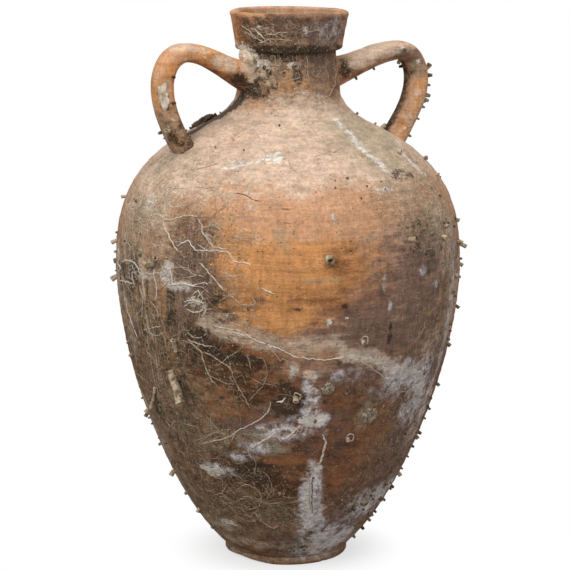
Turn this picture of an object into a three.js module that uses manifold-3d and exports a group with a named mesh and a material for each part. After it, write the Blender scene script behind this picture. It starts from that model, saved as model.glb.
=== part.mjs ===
// A two-handled transport amphora of fired clay, with the worm tubes and lime that the sea left on it.
// The potter threw a foot, a lower body, an upper body, a neck and a rim collar, pulled two strap
// handles, and luted them together with slip. Each of these is a solid of its own here.
// Millimetres, +Z up. The origin is the centre of the foot's flat underside.
// The two handles stand over the X axis, and the vessel's front faces -Y.
import * as THREE from "three";
import { mergeVertices } from "three/addons/utils/BufferGeometryUtils.js";
import Module from "manifold-3d";

// Joints: the slip between two luted sections, and the seat under what grows on the clay
const SLIP_GAP = 0.3;
const SEAT_GAP = 0.3;
const EDGE_BEVEL = 5; // how far a section's edge slants up from its outside to its inside

// Thrown wall
const WALL = 9;
const FLOOR_THICKNESS = 12;

// Foot: a low disc, flat below
const FOOT_RADIUS = 56.5;
const FOOT_HEIGHT = 7;
const FOOT_EDGE_ROUND = 2;
const FOOT_LEDGE = 1.5; // how far the foot stands out past the wall above it

// Body: an egg, widest above the middle
const BELLY_RADIUS = 156.5;
const BELLY_RISE = 265.7; // foot to widest belly
const LOWER_WALL_LEAN = 40; // degrees from level, where the wall leaves the foot
const LOWER_WALL_PULL = 67; // how long that lean holds
const BELLY_PULL_DOWN = 88; // how far the wall stays upright below the belly
const BELLY_PULL_UP = 61; // and above it
const BODY_JOIN_RISE = 9; // seam between the two halves, above the widest belly

// Shoulder and throat
const SHOULDER_RISE = 127; // widest belly to the shoulder's upper edge
const SHOULDER_EDGE_RADIUS = 72;
const SHOULDER_LEAN = 25; // degrees from level
const SHOULDER_PULL = 73;
const THROAT_RISE = 28; // shoulder's upper edge to the neck
const THROAT_RADIUS = 46.5;
const THROAT_PULL_OUT = 15;
const THROAT_PULL_UP = 8;
const NECK_JOIN_RISE = 8; // seam between the shoulder and the neck, above the shoulder's edge

// Neck and rim collar
const NECK_RADIUS = 42;
const NECK_LENGTH = 38;
const NECK_PULL = 1 / 3; // how long the neck keeps upright at its two ends, as a share of its length
const COLLAR_HEIGHT = 34;
const COLLAR_OVERHANG = 6; // the collar's underside, out from the neck
const COLLAR_UNDERCUT = 3.5; // rise of that underside
const COLLAR_SPREAD = 4; // the collar widens by this much on its way up
const LIP_BEAD = 1; // the lip's small bead, out from the collar
const LIP_BEAD_HEIGHT = 4.5;
const LIP_THICKNESS = 7.5;
const LIP_ROUND = 1.8;
const MOUTH_STEP = 8; // height of the upright inner face below the lip

// Strap handles
const HANDLE_THICKNESS = 17;
const HANDLE_WIDTH = 30;
const HANDLE_SQUARENESS = 2.5; // exponent of the section's rounded oval
const HANDLE_DROP = 24; // collar's seat down to the middle of the handle's neck end
const HANDLE_NECK_LEAN = 5; // degrees above level, where the handle leaves the neck
const HANDLE_FOOT_LEAN = 52; // degrees below level, where it meets the shoulder
const HANDLE_PULL = 1 / 3; // how long the arm and the leg hold their lean, as a share of their run
const HANDLE_ARCH_PULL = 0.61; // how long the arch stays level, as a share of the way to the bend
const HANDLE_BEND_PULL = 0.49; // how long the bend stays upright, as a share of its height
const HANDLE_ROOT = 7; // how far an end is pressed into the wall before it is trimmed
// The share by which an end thickens where it is smeared on, and how far that reaches
const HANDLE_NECK_FLARE = { share: 0.68, length: 19 };
const HANDLE_FOOT_FLARE = { share: 0.09, length: 9 };
const HANDLE_FLARE_ASIDE = 0.5; // how far an end widens, against how far it thickens
// For each handle: from the axis to its shoulder end (seat), from the neck to the arch's highest
// point (archSpan) and up to it from the neck end (archRise), how far the bend stands out past the
// shoulder end (overhang), and how far below the arch it is outermost (bend)
const HANDLES = {
  left_handle: { side: -1, seat: 104, archSpan: 58.5, archRise: 23.5, overhang: 18.5, bend: 28.5 },
  right_handle: { side: 1, seat: 107, archSpan: 68.5, archRise: 19, overhang: 22.5, bend: 27 },
};

// Worm tubes
const TUBE_HEADING = 180; // degrees from up the wall: a standing tube sags down the wall
const TUBE_RISE = 80; // degrees off the clay, where a standing tube starts
const TUBE_LIFT = 55; // and at its mouth
const CREEPER_LIFT = 35; // degrees off the clay at a creeping tube's mouth
const TUBE_ROOT = 3; // how deep a standing tube starts inside the wall before it is trimmed
const TUBE_TAPER = 0.8; // a tube's start against its mouth
const TUBE_BORE = 0.55; // bore, as a share of the tube's radius
const TUBE_BORE_DEPTH = 2.5; // depth of the open mouth, in radii
const CREEPER_HEIGHT = 0.45; // middle of a creeping tube above the clay, in radii

// Barnacles, limpet and lime
const SHELL_ROOT = 2; // how deep a shell starts inside the wall before it is trimmed
const BARNACLE_MOUTH = 0.42; // a barnacle's opening against its base
const BARNACLE_WELL = 0.6; // depth of that opening against its height
const BARNACLE_SKIRT = 0.15; // height of a barnacle's upright skirt, as a share of its height
const BARNACLE_SHOULDER = { out: 0.5, up: 0.8 }; // halfway to the mouth, and the height there
const BARNACLE_LIP = 1.3; // the lip against the mouth
const BARNACLE_FLOOR = 0.7; // the well's floor against the mouth
const LIMPET_DOME = [
  [1, 0.1],
  [0.72, 0.6],
  [0.34, 0.92],
]; // shares of a limpet's radius and height, from its edge up
const CRUST_BUMP = 0.1; // lumps on a lime crust, as a share of its size
const CRUST_LUMPS = { across: 7, along: 6, high: 9, skew: 4, shift: 2 }; // how close the lumps lie

// Smoothness
const ROUND_FACETS = 48;
const CURVE_STEPS = 3;
const STRAP_FACETS = 16;
const STRAP_STEPS = 22;
const TUBE_FACETS = 7;
const TUBE_STEP = 4.5; // longest stretch of a tube between two rings
const SHELL_FACETS = 10;
const CURVE_DIVISIONS = 400; // for distances along the wall
const WELD = 1e-3; // corners nearer than this are one

// Colours
const FIRED_CLAY = "#a9805f";
const HANDLE_CLAY = "#b79472";
const LIME = "#c9bfae";
const ROUGHNESS = 0.9;

// Heights that follow from the sizes above
const BODY_BASE_Z = FOOT_HEIGHT + SLIP_GAP;
const BELLY_Z = BODY_BASE_Z + BELLY_RISE;
const SHOULDER_Z = BELLY_Z + SHOULDER_RISE;
const THROAT_Z = SHOULDER_Z + THROAT_RISE;
const COLLAR_Z = THROAT_Z + NECK_LENGTH;
const RIM_Z = COLLAR_Z + COLLAR_HEIGHT;
const BODY_BASE_RADIUS = FOOT_RADIUS - FOOT_LEDGE;
const BORE_RADIUS = NECK_RADIUS - WALL;

const wasm = await Module();
wasm.setup();

const radians = THREE.MathUtils.degToRad;
const lerp = THREE.MathUtils.lerp;

// A geometry as a solid that can be cut. Flat slivers on a turned shape's axis are dropped.
function solidOf(geometry) {
  const bare = geometry.clone();
  bare.deleteAttribute("normal");
  bare.deleteAttribute("uv");
  const merged = mergeVertices(bare, WELD);
  const corners = merged.index.array;
  const kept = [];
  for (let i = 0; i < corners.length; i += 3) {
    const [a, b, c] = [corners[i], corners[i + 1], corners[i + 2]];
    if (a !== b && b !== c && c !== a) kept.push(a, b, c);
  }
  return new wasm.Manifold(
    new wasm.Mesh({
      numProp: 3,
      vertProperties: merged.attributes.position.array,
      triVerts: new Uint32Array(kept),
    }),
  );
}

function geometryOf(solid) {
  const mesh = solid.getMesh();
  const geometry = new THREE.BufferGeometry();
  geometry.setAttribute("position", new THREE.BufferAttribute(mesh.vertProperties, 3));
  geometry.setIndex(new THREE.BufferAttribute(mesh.triVerts, 1));
  geometry.computeVertexNormals();
  return geometry;
}

// An outline of (radius, height) points turned round the vessel's axis
function thrown(outline, facets = ROUND_FACETS) {
  return new THREE.LatheGeometry(outline, facets).rotateX(Math.PI / 2);
}

// Rings of points joined side by side, with both ends closed
function sweep(rings) {
  const count = rings[0].length;
  const points = rings.flat();
  const faces = [];
  for (let i = 0; i < rings.length - 1; i++) {
    for (let j = 0; j < count; j++) {
      const [here, next] = [i * count + j, i * count + ((j + 1) % count)];
      faces.push(here, next, next + count, here, next + count, here + count);
    }
  }
  const middleOf = (ring) => ring.reduce((sum, p) => sum.add(p), new THREE.Vector3()).divideScalar(count);
  const [first, last] = [points.length, points.length + 1];
  const lastRing = (rings.length - 1) * count;
  points.push(middleOf(rings[0]), middleOf(rings.at(-1)));
  for (let j = 0; j < count; j++) {
    const next = (j + 1) % count;
    faces.push(first, next, j, last, lastRing + j, lastRing + next);
  }
  return new THREE.BufferGeometry().setFromPoints(points).setIndex(faces);
}

// The outside of body, shoulder and neck, as one curve from the foot to the collar
function wallCurve() {
  const lean = radians(LOWER_WALL_LEAN);
  const slope = radians(SHOULDER_LEAN);
  const curve = new THREE.Path();
  curve.moveTo(BODY_BASE_RADIUS, BODY_BASE_Z);
  curve.bezierCurveTo(
    BODY_BASE_RADIUS + LOWER_WALL_PULL * Math.cos(lean),
    BODY_BASE_Z + LOWER_WALL_PULL * Math.sin(lean),
    BELLY_RADIUS,
    BELLY_Z - BELLY_PULL_DOWN,
    BELLY_RADIUS,
    BELLY_Z,
  );
  curve.bezierCurveTo(
    BELLY_RADIUS,
    BELLY_Z + BELLY_PULL_UP,
    SHOULDER_EDGE_RADIUS + SHOULDER_PULL * Math.cos(slope),
    SHOULDER_Z - SHOULDER_PULL * Math.sin(slope),
    SHOULDER_EDGE_RADIUS,
    SHOULDER_Z,
  );
  curve.bezierCurveTo(
    SHOULDER_EDGE_RADIUS - THROAT_PULL_OUT * Math.cos(slope),
    SHOULDER_Z + THROAT_PULL_OUT * Math.sin(slope),
    THROAT_RADIUS,
    THROAT_Z - THROAT_PULL_UP,
    THROAT_RADIUS,
    THROAT_Z,
  );
  curve.bezierCurveTo(
    THROAT_RADIUS,
    THROAT_Z + NECK_LENGTH * NECK_PULL,
    NECK_RADIUS,
    COLLAR_Z - NECK_LENGTH * NECK_PULL,
    NECK_RADIUS,
    COLLAR_Z,
  );
  curve.arcLengthDivisions = CURVE_DIVISIONS;
  return curve;
}
const wall = wallCurve();
const wallLength = wall.getLength();

// The wall's direction at a distance up the wall
function wallSlope(distance) {
  return wall.getTangentAt(THREE.MathUtils.clamp(distance / wallLength, 0, 1));
}

// The point at a distance up the wall, at a depth under its outside
function wallPoint(distance, depth = 0) {
  const point = wall.getPointAt(THREE.MathUtils.clamp(distance / wallLength, 0, 1));
  const slope = wallSlope(distance);
  return new THREE.Vector2(point.x - slope.y * depth, point.y + slope.x * depth);
}

// The distance up the wall from which on a test holds
function distanceWhere(test, from = 0) {
  let [low, high] = [from, wallLength];
  for (let i = 0; i < 30; i++) {
    const middle = (low + high) / 2;
    if (test(middle)) high = middle;
    else low = middle;
  }
  return (low + high) / 2;
}

function distanceAt(height, depth = 0) {
  return distanceWhere((distance) => wallPoint(distance, depth).y >= height);
}

// The sections of the wall, each from one distance up the wall to another
const bodyJoin = distanceAt(BELLY_Z + BODY_JOIN_RISE);
const neckJoin = distanceAt(SHOULDER_Z + NECK_JOIN_RISE);
const LOWER = { from: 0, to: bodyJoin, steps: 12 };
const UPPER = { from: bodyJoin + SLIP_GAP, to: neckJoin, steps: 11 };
const NECK = { from: neckJoin + SLIP_GAP, to: wallLength - SLIP_GAP, steps: 5 };

// Points along a section's outside, or along its inside when it has a depth
function wallRun({ from, to, steps }, depth = 0) {
  return Array.from({ length: steps + 1 }, (_, i) => wallPoint(lerp(from, to, i / steps), depth));
}

// The foot: a low disc with a rounded edge, cut flat off the wheel
function foot() {
  const outline = new THREE.Path();
  outline.moveTo(0, 0);
  outline.lineTo(FOOT_RADIUS - FOOT_EDGE_ROUND, 0);
  outline.quadraticCurveTo(FOOT_RADIUS, 0, FOOT_RADIUS, FOOT_EDGE_ROUND);
  outline.lineTo(FOOT_RADIUS, FOOT_HEIGHT - FOOT_LEDGE);
  outline.lineTo(BODY_BASE_RADIUS, FOOT_HEIGHT);
  outline.lineTo(0, FOOT_HEIGHT);
  return thrown(outline.getPoints(CURVE_STEPS));
}

// The lower half of the body: a floor, and a wall that opens out to the belly
function lowerBody() {
  const floor = BODY_BASE_Z + FLOOR_THICKNESS;
  const inside = { from: distanceAt(floor, WALL), to: LOWER.to + EDGE_BEVEL, steps: LOWER.steps - 1 };
  return thrown([
    new THREE.Vector2(0, BODY_BASE_Z),
    ...wallRun(LOWER),
    ...wallRun(inside, WALL).reverse(),
    new THREE.Vector2(0, floor),
  ]);
}

// A section that is open at both ends. Its lower edge slants up inwards, and so does its upper one
// if it has a bevel.
function openSection(section, topBevel) {
  const inside = { from: section.from + EDGE_BEVEL, to: section.to + topBevel, steps: section.steps - 1 };
  const outline = [...wallRun(section), ...wallRun(inside, WALL).reverse()];
  return thrown([...outline, outline[0]]);
}

// The collar's outside, from the neck round the undercut and up to the top of the lip,
// stood out by a margin
function collarOutside(margin = 0) {
  const base = COLLAR_Z - margin;
  const top = RIM_Z + margin;
  const lower = NECK_RADIUS + COLLAR_OVERHANG + margin;
  const upper = lower + COLLAR_SPREAD;
  const lip = upper + LIP_BEAD;
  const outline = new THREE.Path();
  outline.moveTo(NECK_RADIUS, base);
  outline.quadraticCurveTo(lower, base, lower, base + COLLAR_UNDERCUT);
  outline.lineTo(upper, top - LIP_BEAD_HEIGHT - LIP_BEAD);
  outline.lineTo(lip, top - LIP_BEAD_HEIGHT);
  outline.lineTo(lip, top - LIP_ROUND);
  outline.quadraticCurveTo(lip, top, lip - LIP_ROUND, top);
  return outline.getPoints(CURVE_STEPS);
}

// The rim collar: an undercut band with a rounded lip, and a mouth that narrows to the neck's bore
function rimCollar() {
  const mouth = NECK_RADIUS + COLLAR_OVERHANG + COLLAR_SPREAD + LIP_BEAD - LIP_THICKNESS;
  const inside = new THREE.Path();
  inside.moveTo(mouth + LIP_ROUND, RIM_Z);
  inside.quadraticCurveTo(mouth, RIM_Z, mouth, RIM_Z - LIP_ROUND);
  inside.lineTo(mouth, RIM_Z - MOUTH_STEP);
  inside.lineTo(BORE_RADIUS, COLLAR_Z);
  const outline = [...collarOutside(), ...inside.getPoints(CURVE_STEPS)];
  return thrown([...outline, outline[0]]);
}

// Everything inside the vessel's outside, stood out by the seat gap: the tool that trims the
// handles' ends and the roots of what grows on the clay
function vesselTool() {
  const outside = [LOWER, UPPER, NECK].flatMap((section) => wallRun(section, -SEAT_GAP));
  const body = [
    new THREE.Vector2(0, BODY_BASE_Z - SEAT_GAP),
    new THREE.Vector2(outside[0].x, BODY_BASE_Z - SEAT_GAP),
    ...outside,
    new THREE.Vector2(NECK_RADIUS + SEAT_GAP, COLLAR_Z),
    new THREE.Vector2(0, COLLAR_Z),
  ];
  const collar = collarOutside(SEAT_GAP);
  const rim = [new THREE.Vector2(0, collar[0].y), ...collar, new THREE.Vector2(0, collar.at(-1).y)];
  return solidOf(thrown(body)).add(solidOf(thrown(rim)));
}

// A handle's middle line: out of the neck, over the arch, round the bend and down to the shoulder
function handlePath({ side, seat, archSpan, archRise, overhang, bend }) {
  const neckLean = radians(HANDLE_NECK_LEAN);
  const footLean = radians(HANDLE_FOOT_LEAN);
  const isPastSeat = (distance) => wallPoint(distance).x <= seat;
  const foot = wallPoint(distanceWhere(isPastSeat, distanceAt(BELLY_Z)));
  const start = new THREE.Vector2(NECK_RADIUS - HANDLE_ROOT, COLLAR_Z - HANDLE_DROP);
  const arch = new THREE.Vector2(NECK_RADIUS + archSpan, start.y + archRise);
  const outermost = new THREE.Vector2(foot.x + overhang, arch.y - bend);
  const end = new THREE.Vector2(
    foot.x - HANDLE_ROOT * Math.cos(footLean),
    foot.y - HANDLE_ROOT * Math.sin(footLean),
  );
  const armPull = (arch.x - start.x) * HANDLE_PULL;
  const archPull = (outermost.x - arch.x) * HANDLE_ARCH_PULL;
  const bendPull = bend * HANDLE_BEND_PULL;
  const footPull = (outermost.y - end.y) * HANDLE_PULL;
  const at = (x, z) => new THREE.Vector3(side * x, 0, z);
  const path = new THREE.CurvePath();
  path.add(
    new THREE.CubicBezierCurve3(
      at(start.x, start.y),
      at(start.x + armPull * Math.cos(neckLean), start.y + armPull * Math.sin(neckLean)),
      at(arch.x - armPull, arch.y),
      at(arch.x, arch.y),
    ),
  );
  path.add(
    new THREE.CubicBezierCurve3(
      at(arch.x, arch.y),
      at(arch.x + archPull, arch.y),
      at(outermost.x, outermost.y + bendPull),
      at(outermost.x, outermost.y),
    ),
  );
  path.add(
    new THREE.CubicBezierCurve3(
      at(outermost.x, outermost.y),
      at(outermost.x, outermost.y - footPull),
      at(end.x + footPull * Math.cos(footLean), end.y + footPull * Math.sin(footLean)),
      at(end.x, end.y),
    ),
  );
  return path;
}

// How much a handle's end thickens, at a distance from that end
function flareAt(distance, { share, length }) {
  return share * Math.exp(-Math.max(distance - HANDLE_ROOT, 0) / length);
}

// A point on a handle's rounded oval section, which is thicker near the handle's two ends.
// Angle 0 is the face away from the vessel. A margin stands the surface out.
function handlePoint({ path, side }, distance, angle, margin = 0) {
  const length = path.getLength();
  const share = THREE.MathUtils.clamp(distance / length, 0, 1);
  const edge = new THREE.Vector3(0, -side, 0);
  const outward = new THREE.Vector3().crossVectors(edge, path.getTangentAt(share));
  const flare = flareAt(distance, HANDLE_NECK_FLARE) + flareAt(length - distance, HANDLE_FOOT_FLARE);
  const thickness = HANDLE_THICKNESS * (1 + flare);
  const width = HANDLE_WIDTH * (1 + flare * HANDLE_FLARE_ASIDE);
  const oval = (v) => Math.sign(v) * Math.abs(v) ** (2 / HANDLE_SQUARENESS);
  return path
    .getPointAt(share)
    .addScaledVector(outward, oval(Math.cos(angle)) * (thickness / 2 + margin))
    .addScaledVector(edge, oval(Math.sin(angle)) * (width / 2 + margin));
}

function handleSweep(handle, margin = 0) {
  const length = handle.path.getLength();
  const ringAt = (distance) =>
    Array.from({ length: STRAP_FACETS }, (_, j) =>
      handlePoint(handle, distance, (2 * Math.PI * j) / STRAP_FACETS, margin),
    );
  return sweep(Array.from({ length: STRAP_STEPS + 1 }, (_, i) => ringAt((length * i) / STRAP_STEPS)));
}

// The clay round a growth on the wall: the point a little way across and along from where the
// growth starts, with the directions along, across and out from the surface there
function wallGround({ section, turn, up }) {
  const [bottom, top] = [wallPoint(section.from).y, wallPoint(section.to).y];
  const start = distanceAt(lerp(bottom, top, up));
  return (across, along) => {
    const point = wallPoint(start + along);
    const slope = wallSlope(start + along);
    const angle = radians(turn) + across / point.x;
    const [cos, sin] = [Math.cos(angle), Math.sin(angle)];
    const alongWay = new THREE.Vector3(slope.x * cos, slope.x * sin, slope.y);
    const acrossWay = new THREE.Vector3(-sin, cos, 0);
    return {
      point: new THREE.Vector3(point.x * cos, point.x * sin, point.y),
      along: alongWay,
      across: acrossWay,
      out: new THREE.Vector3().crossVectors(acrossWay, alongWay),
    };
  };
}

// The same on a handle: a share of its length from the neck, and an angle round the strap, where
// 0 is the face away from the vessel and 90 is the edge towards the front
function handleGround({ handle, angle, up }) {
  const start = handle.path.getLength() * up;
  const round = radians(angle) * handle.side;
  const girth = (HANDLE_THICKNESS + HANDLE_WIDTH) / 4;
  return (across, along) => {
    const at = (aside, ahead) =>
      handlePoint(handle, start + along + ahead, round + (across + aside) / girth);
    const alongWay = at(0, 1).sub(at(0, -1)).normalize();
    const roundWay = at(1, 0).sub(at(-1, 0));
    const out = roundWay.cross(alongWay).normalize();
    return { point: at(0, 0), along: alongWay, across: alongWay.clone().cross(out), out };
  };
}

// A worm tube's middle line. It sets out at a heading along the clay, 0 being up the wall, and
// curls as it grows, while its slope off the clay goes from rise to lift.
function tubePath(ground, { heading, curl, rise, lift, length, start }, steps) {
  let [across, along, height] = [0, 0, start];
  const points = [];
  for (let i = 0; i <= steps; i++) {
    const here = ground(across, along);
    points.push(here.point.addScaledVector(here.out, height));
    const way = radians(heading + (curl * i) / steps);
    const climb = radians(lerp(rise, lift, i / steps));
    const step = length / steps;
    across += step * Math.cos(climb) * Math.sin(way);
    along += step * Math.cos(climb) * Math.cos(way);
    height += step * Math.sin(climb);
  }
  return new THREE.CatmullRomCurve3(points);
}

// A worm tube: it widens to an open mouth, and its bore is blind
function wormTube(ground, size) {
  const steps = Math.max(3, Math.ceil(size.length / TUBE_STEP));
  const path = tubePath(ground, size, steps);
  const frames = path.computeFrenetFrames(steps, false);
  const ring = (step, radius) =>
    Array.from({ length: TUBE_FACETS }, (_, j) => {
      const angle = (2 * Math.PI * j) / TUBE_FACETS;
      return path
        .getPointAt(step / steps)
        .addScaledVector(frames.normals[step], radius * Math.cos(angle))
        .addScaledVector(frames.binormals[step], radius * Math.sin(angle));
    });
  const rings = Array.from({ length: steps + 1 }, (_, i) =>
    ring(i, size.radius * lerp(TUBE_TAPER, 1, i / steps)),
  );
  const depth = Math.min(size.radius * TUBE_BORE_DEPTH, size.length / 2);
  const down = path.getTangentAt(1).multiplyScalar(-depth);
  const mouth = ring(steps, size.radius * TUBE_BORE);
  rings.push(mouth, mouth.map((point) => point.clone().add(down)));
  return sweep(rings);
}

// A shape with its own Z out from the clay, set on the clay at a place
function setOn(ground, geometry) {
  const { point, along, across, out } = ground(0, 0);
  const place = new THREE.Matrix4().makeBasis(across, along, out).setPosition(point);
  return geometry.applyMatrix4(place);
}

// A barnacle: a steep ring of plates round an open well
function barnacle(ground, { radius, height }) {
  const mouth = radius * BARNACLE_MOUTH;
  const outline = [
    new THREE.Vector2(0, -SHELL_ROOT),
    new THREE.Vector2(radius, -SHELL_ROOT),
    new THREE.Vector2(radius, height * BARNACLE_SKIRT),
    new THREE.Vector2(lerp(radius, mouth, BARNACLE_SHOULDER.out), height * BARNACLE_SHOULDER.up),
    new THREE.Vector2(mouth * BARNACLE_LIP, height),
    new THREE.Vector2(mouth, height),
    new THREE.Vector2(mouth * BARNACLE_FLOOR, height * (1 - BARNACLE_WELL)),
    new THREE.Vector2(0, height * (1 - BARNACLE_WELL)),
  ];
  return setOn(ground, thrown(outline, SHELL_FACETS));
}

// A limpet: a low pointed dome
function limpet(ground, { radius, height }) {
  const outline = [
    new THREE.Vector2(0, -SHELL_ROOT),
    new THREE.Vector2(radius, -SHELL_ROOT),
    ...LIMPET_DOME.map(([out, up]) => new THREE.Vector2(radius * out, height * up)),
    new THREE.Vector2(0, height),
  ];
  return setOn(ground, thrown(outline, SHELL_FACETS));
}

// A lime crust: a low lumpy patch, with its half sizes across, along and out from the clay
function limeCrust(ground, { across, along, high }) {
  const ball = new THREE.IcosahedronGeometry(1, 2);
  ball.deleteAttribute("normal");
  ball.deleteAttribute("uv");
  const lump = mergeVertices(ball);
  const places = lump.attributes.position;
  const lumps = CRUST_LUMPS;
  const point = new THREE.Vector3();
  for (let i = 0; i < places.count; i++) {
    point.fromBufferAttribute(places, i);
    const wide = Math.sin(lumps.across * point.x + lumps.shift) * Math.sin(lumps.along * point.y);
    const tall = Math.sin(lumps.high * point.z + lumps.skew * point.x);
    point.multiplyScalar(1 + CRUST_BUMP * (wide + tall));
    places.setXYZ(i, point.x * across, point.y * along, point.z * high);
  }
  return setOn(ground, lump);
}

const amphora = new THREE.Group();

function add(name, geometry, color) {
  const material = new THREE.MeshStandardMaterial({ color, roughness: ROUGHNESS, metalness: 0 });
  const mesh = new THREE.Mesh(geometry, material);
  mesh.name = name;
  amphora.add(mesh);
}

// The potter's pieces
add("foot", foot(), FIRED_CLAY);
add("lower_body", lowerBody(), FIRED_CLAY);
add("upper_body", openSection(UPPER, EDGE_BEVEL), FIRED_CLAY);
add("neck", openSection(NECK, 0), FIRED_CLAY);
add("rim_collar", rimCollar(), FIRED_CLAY);

const vessel = vesselTool();
for (const [name, handle] of Object.entries(HANDLES)) {
  handle.path = handlePath(handle);
  add(name, geometryOf(solidOf(handleSweep(handle)).subtract(vessel)), HANDLE_CLAY);
}

// What the sea left. Each growth is trimmed to the clay that it grew on.
const handleTools = Object.values(HANDLES).map((handle) => solidOf(handleSweep(handle, SEAT_GAP)));
const clay = handleTools.reduce((sum, tool) => sum.add(tool), vessel);

function grow(name, geometry) {
  add(name, geometryOf(solidOf(geometry).subtract(clay)), LIME);
}

function growEach(name, places, shape) {
  places.forEach((place, i) => {
    const ground = place.handle ? handleGround(place) : wallGround(place);
    grow(`${name}_${String(i + 1).padStart(2, "0")}`, shape(ground, place));
  });
}

// Places are given by section, turn (degrees round the axis from +X towards the back) and share of
// the section's height, or by handle, angle round the strap and share of the handle's length
const LEFT = HANDLES.left_handle;
const RIGHT = HANDLES.right_handle;

// Tubes that stand off the clay
const STANDING_TUBES = [
  { section: UPPER, turn: 258, up: 0.18, radius: 3.75, length: 6 },
  { section: UPPER, turn: 322, up: 0.13, radius: 2.6, length: 5 },
  { section: UPPER, turn: 331, up: 0.075, radius: 2, length: 6.5 },
  { section: UPPER, turn: 325, up: 0.28, radius: 1.8, length: 4 },
  { section: UPPER, turn: 325, up: 0.6, radius: 1.5, length: 3.5 },
  { section: UPPER, turn: 332, up: 0.7, radius: 2, length: 3.5 },
  { section: UPPER, turn: 310, up: 0.29, radius: 1.9, length: 3.5 },
  { section: UPPER, turn: 307, up: 0.22, radius: 2.2, length: 4 },
  { section: UPPER, turn: 288, up: 0.245, radius: 2.4, length: 5, heading: 90 },
  { section: UPPER, turn: 347, up: 0.9, radius: 2, length: 4 },
  { section: UPPER, turn: 308, up: 0.79, radius: 1.8, length: 3.5 },
  { section: UPPER, turn: 155, up: 0.4, radius: 1.6, length: 4 },
  { section: UPPER, turn: 159, up: 0.085, radius: 2, length: 5 },
  { section: UPPER, turn: 156, up: 0.87, radius: 2.4, length: 4 },
  { section: LOWER, turn: 160, up: 0.92, radius: 2.6, length: 5.5 },
  { section: LOWER, turn: 318, up: 0.955, radius: 2.2, length: 4 },
  { section: LOWER, turn: 330, up: 0.97, radius: 1.8, length: 3 },
  { section: LOWER, turn: 327, up: 0.835, radius: 1.6, length: 3.5 },
  { section: LOWER, turn: 321, up: 0.72, radius: 1.9, length: 4 },
  { section: LOWER, turn: 270, up: 0.81, radius: 2, length: 3.5 },
  { section: LOWER, turn: 248, up: 0.63, radius: 2.6, length: 4 },
  { section: LOWER, turn: 269, up: 0.475, radius: 2, length: 3.5 },
  { section: LOWER, turn: 172, up: 0.68, radius: 2.2, length: 3 },
  { section: LOWER, turn: 173, up: 0.495, radius: 1.7, length: 4.5 },
  { section: LOWER, turn: 168, up: 0.265, radius: 2.4, length: 5 },
  { section: LOWER, turn: 181, up: 0.15, radius: 2, length: 3.5 },
  { section: LOWER, turn: 322, up: 0.58, radius: 1.6, length: 3 },
  { section: LOWER, turn: 316, up: 0.41, radius: 2, length: 4 },
  { section: LOWER, turn: 319, up: 0.27, radius: 2, length: 3.5 },
  { section: LOWER, turn: 308, up: 0.14, radius: 2, length: 3 },
  { section: LOWER, turn: 301, up: 0.435, radius: 1.9, length: 3.5 },
  { section: NECK, turn: 222, up: 0.78, radius: 2.2, length: 5 },
  { handle: RIGHT, angle: 10, up: 0.6, radius: 2.4, length: 6 },
  { handle: RIGHT, angle: 0, up: 0.75, radius: 1.8, length: 5.5 },
  { handle: RIGHT, angle: 180, up: 0.47, radius: 1.8, length: 5 },
  { handle: LEFT, angle: 45, up: 0.84, radius: 1.8, length: 5 },
];

// Tubes that creep over the clay and lift their mouths at the end
const CREEPING_TUBES = [
  { section: LOWER, turn: 201, up: 0.683, radius: 4.2, length: 31, heading: 155, curl: -12 },
  { section: LOWER, turn: 189, up: 0.6, radius: 1.8, length: 33, heading: 202, curl: 12 },
  { section: LOWER, turn: 205.4, up: 0.751, radius: 2.3, length: 13, heading: 3, curl: 10 },
  { section: UPPER, turn: 192, up: 0.04, radius: 2.4, length: 30, heading: 100, curl: -60 },
  { section: NECK, turn: 232, up: 0.5, radius: 2.2, length: 9.5, heading: -74, curl: 20 },
];

const STANDING = { heading: TUBE_HEADING, curl: 0, rise: TUBE_RISE, lift: TUBE_LIFT, start: -TUBE_ROOT };
growEach("worm_tube", STANDING_TUBES, (ground, place) => {
  return wormTube(ground, { ...STANDING, ...place, length: place.length + TUBE_ROOT });
});
growEach("creeping_tube", CREEPING_TUBES, (ground, place) => {
  const start = place.radius * CREEPER_HEIGHT;
  return wormTube(ground, { ...place, rise: 0, lift: CREEPER_LIFT, start });
});

growEach(
  "barnacle",
  [
    { section: LOWER, turn: 277, up: 0.545, radius: 8, height: 2.5 },
    { section: NECK, turn: 253, up: 0.8, radius: 3.5, height: 3 },
    { section: LOWER, turn: 290, up: 0.21, radius: 4.5, height: 3.5 },
  ],
  barnacle,
);
growEach("limpet", [{ section: LOWER, turn: 259, up: 0.655, radius: 6, height: 4 }], limpet);
growEach(
  "lime_crust",
  [
    { section: NECK, turn: 190, up: 0.9, across: 12, along: 9, high: 7 },
    { section: UPPER, turn: 144, up: 0.93, across: 16, along: 9, high: 4 },
    { handle: LEFT, angle: 60, up: 0.66, across: 5, along: 10, high: 1.4 },
  ],
  limeCrust,
);

export default amphora;
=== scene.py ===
import functools
import math
import random

import bpy
import numpy as np
from bpy.props import FloatProperty, FloatVectorProperty, IntProperty, PointerProperty
from mathutils import Matrix, Vector


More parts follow.
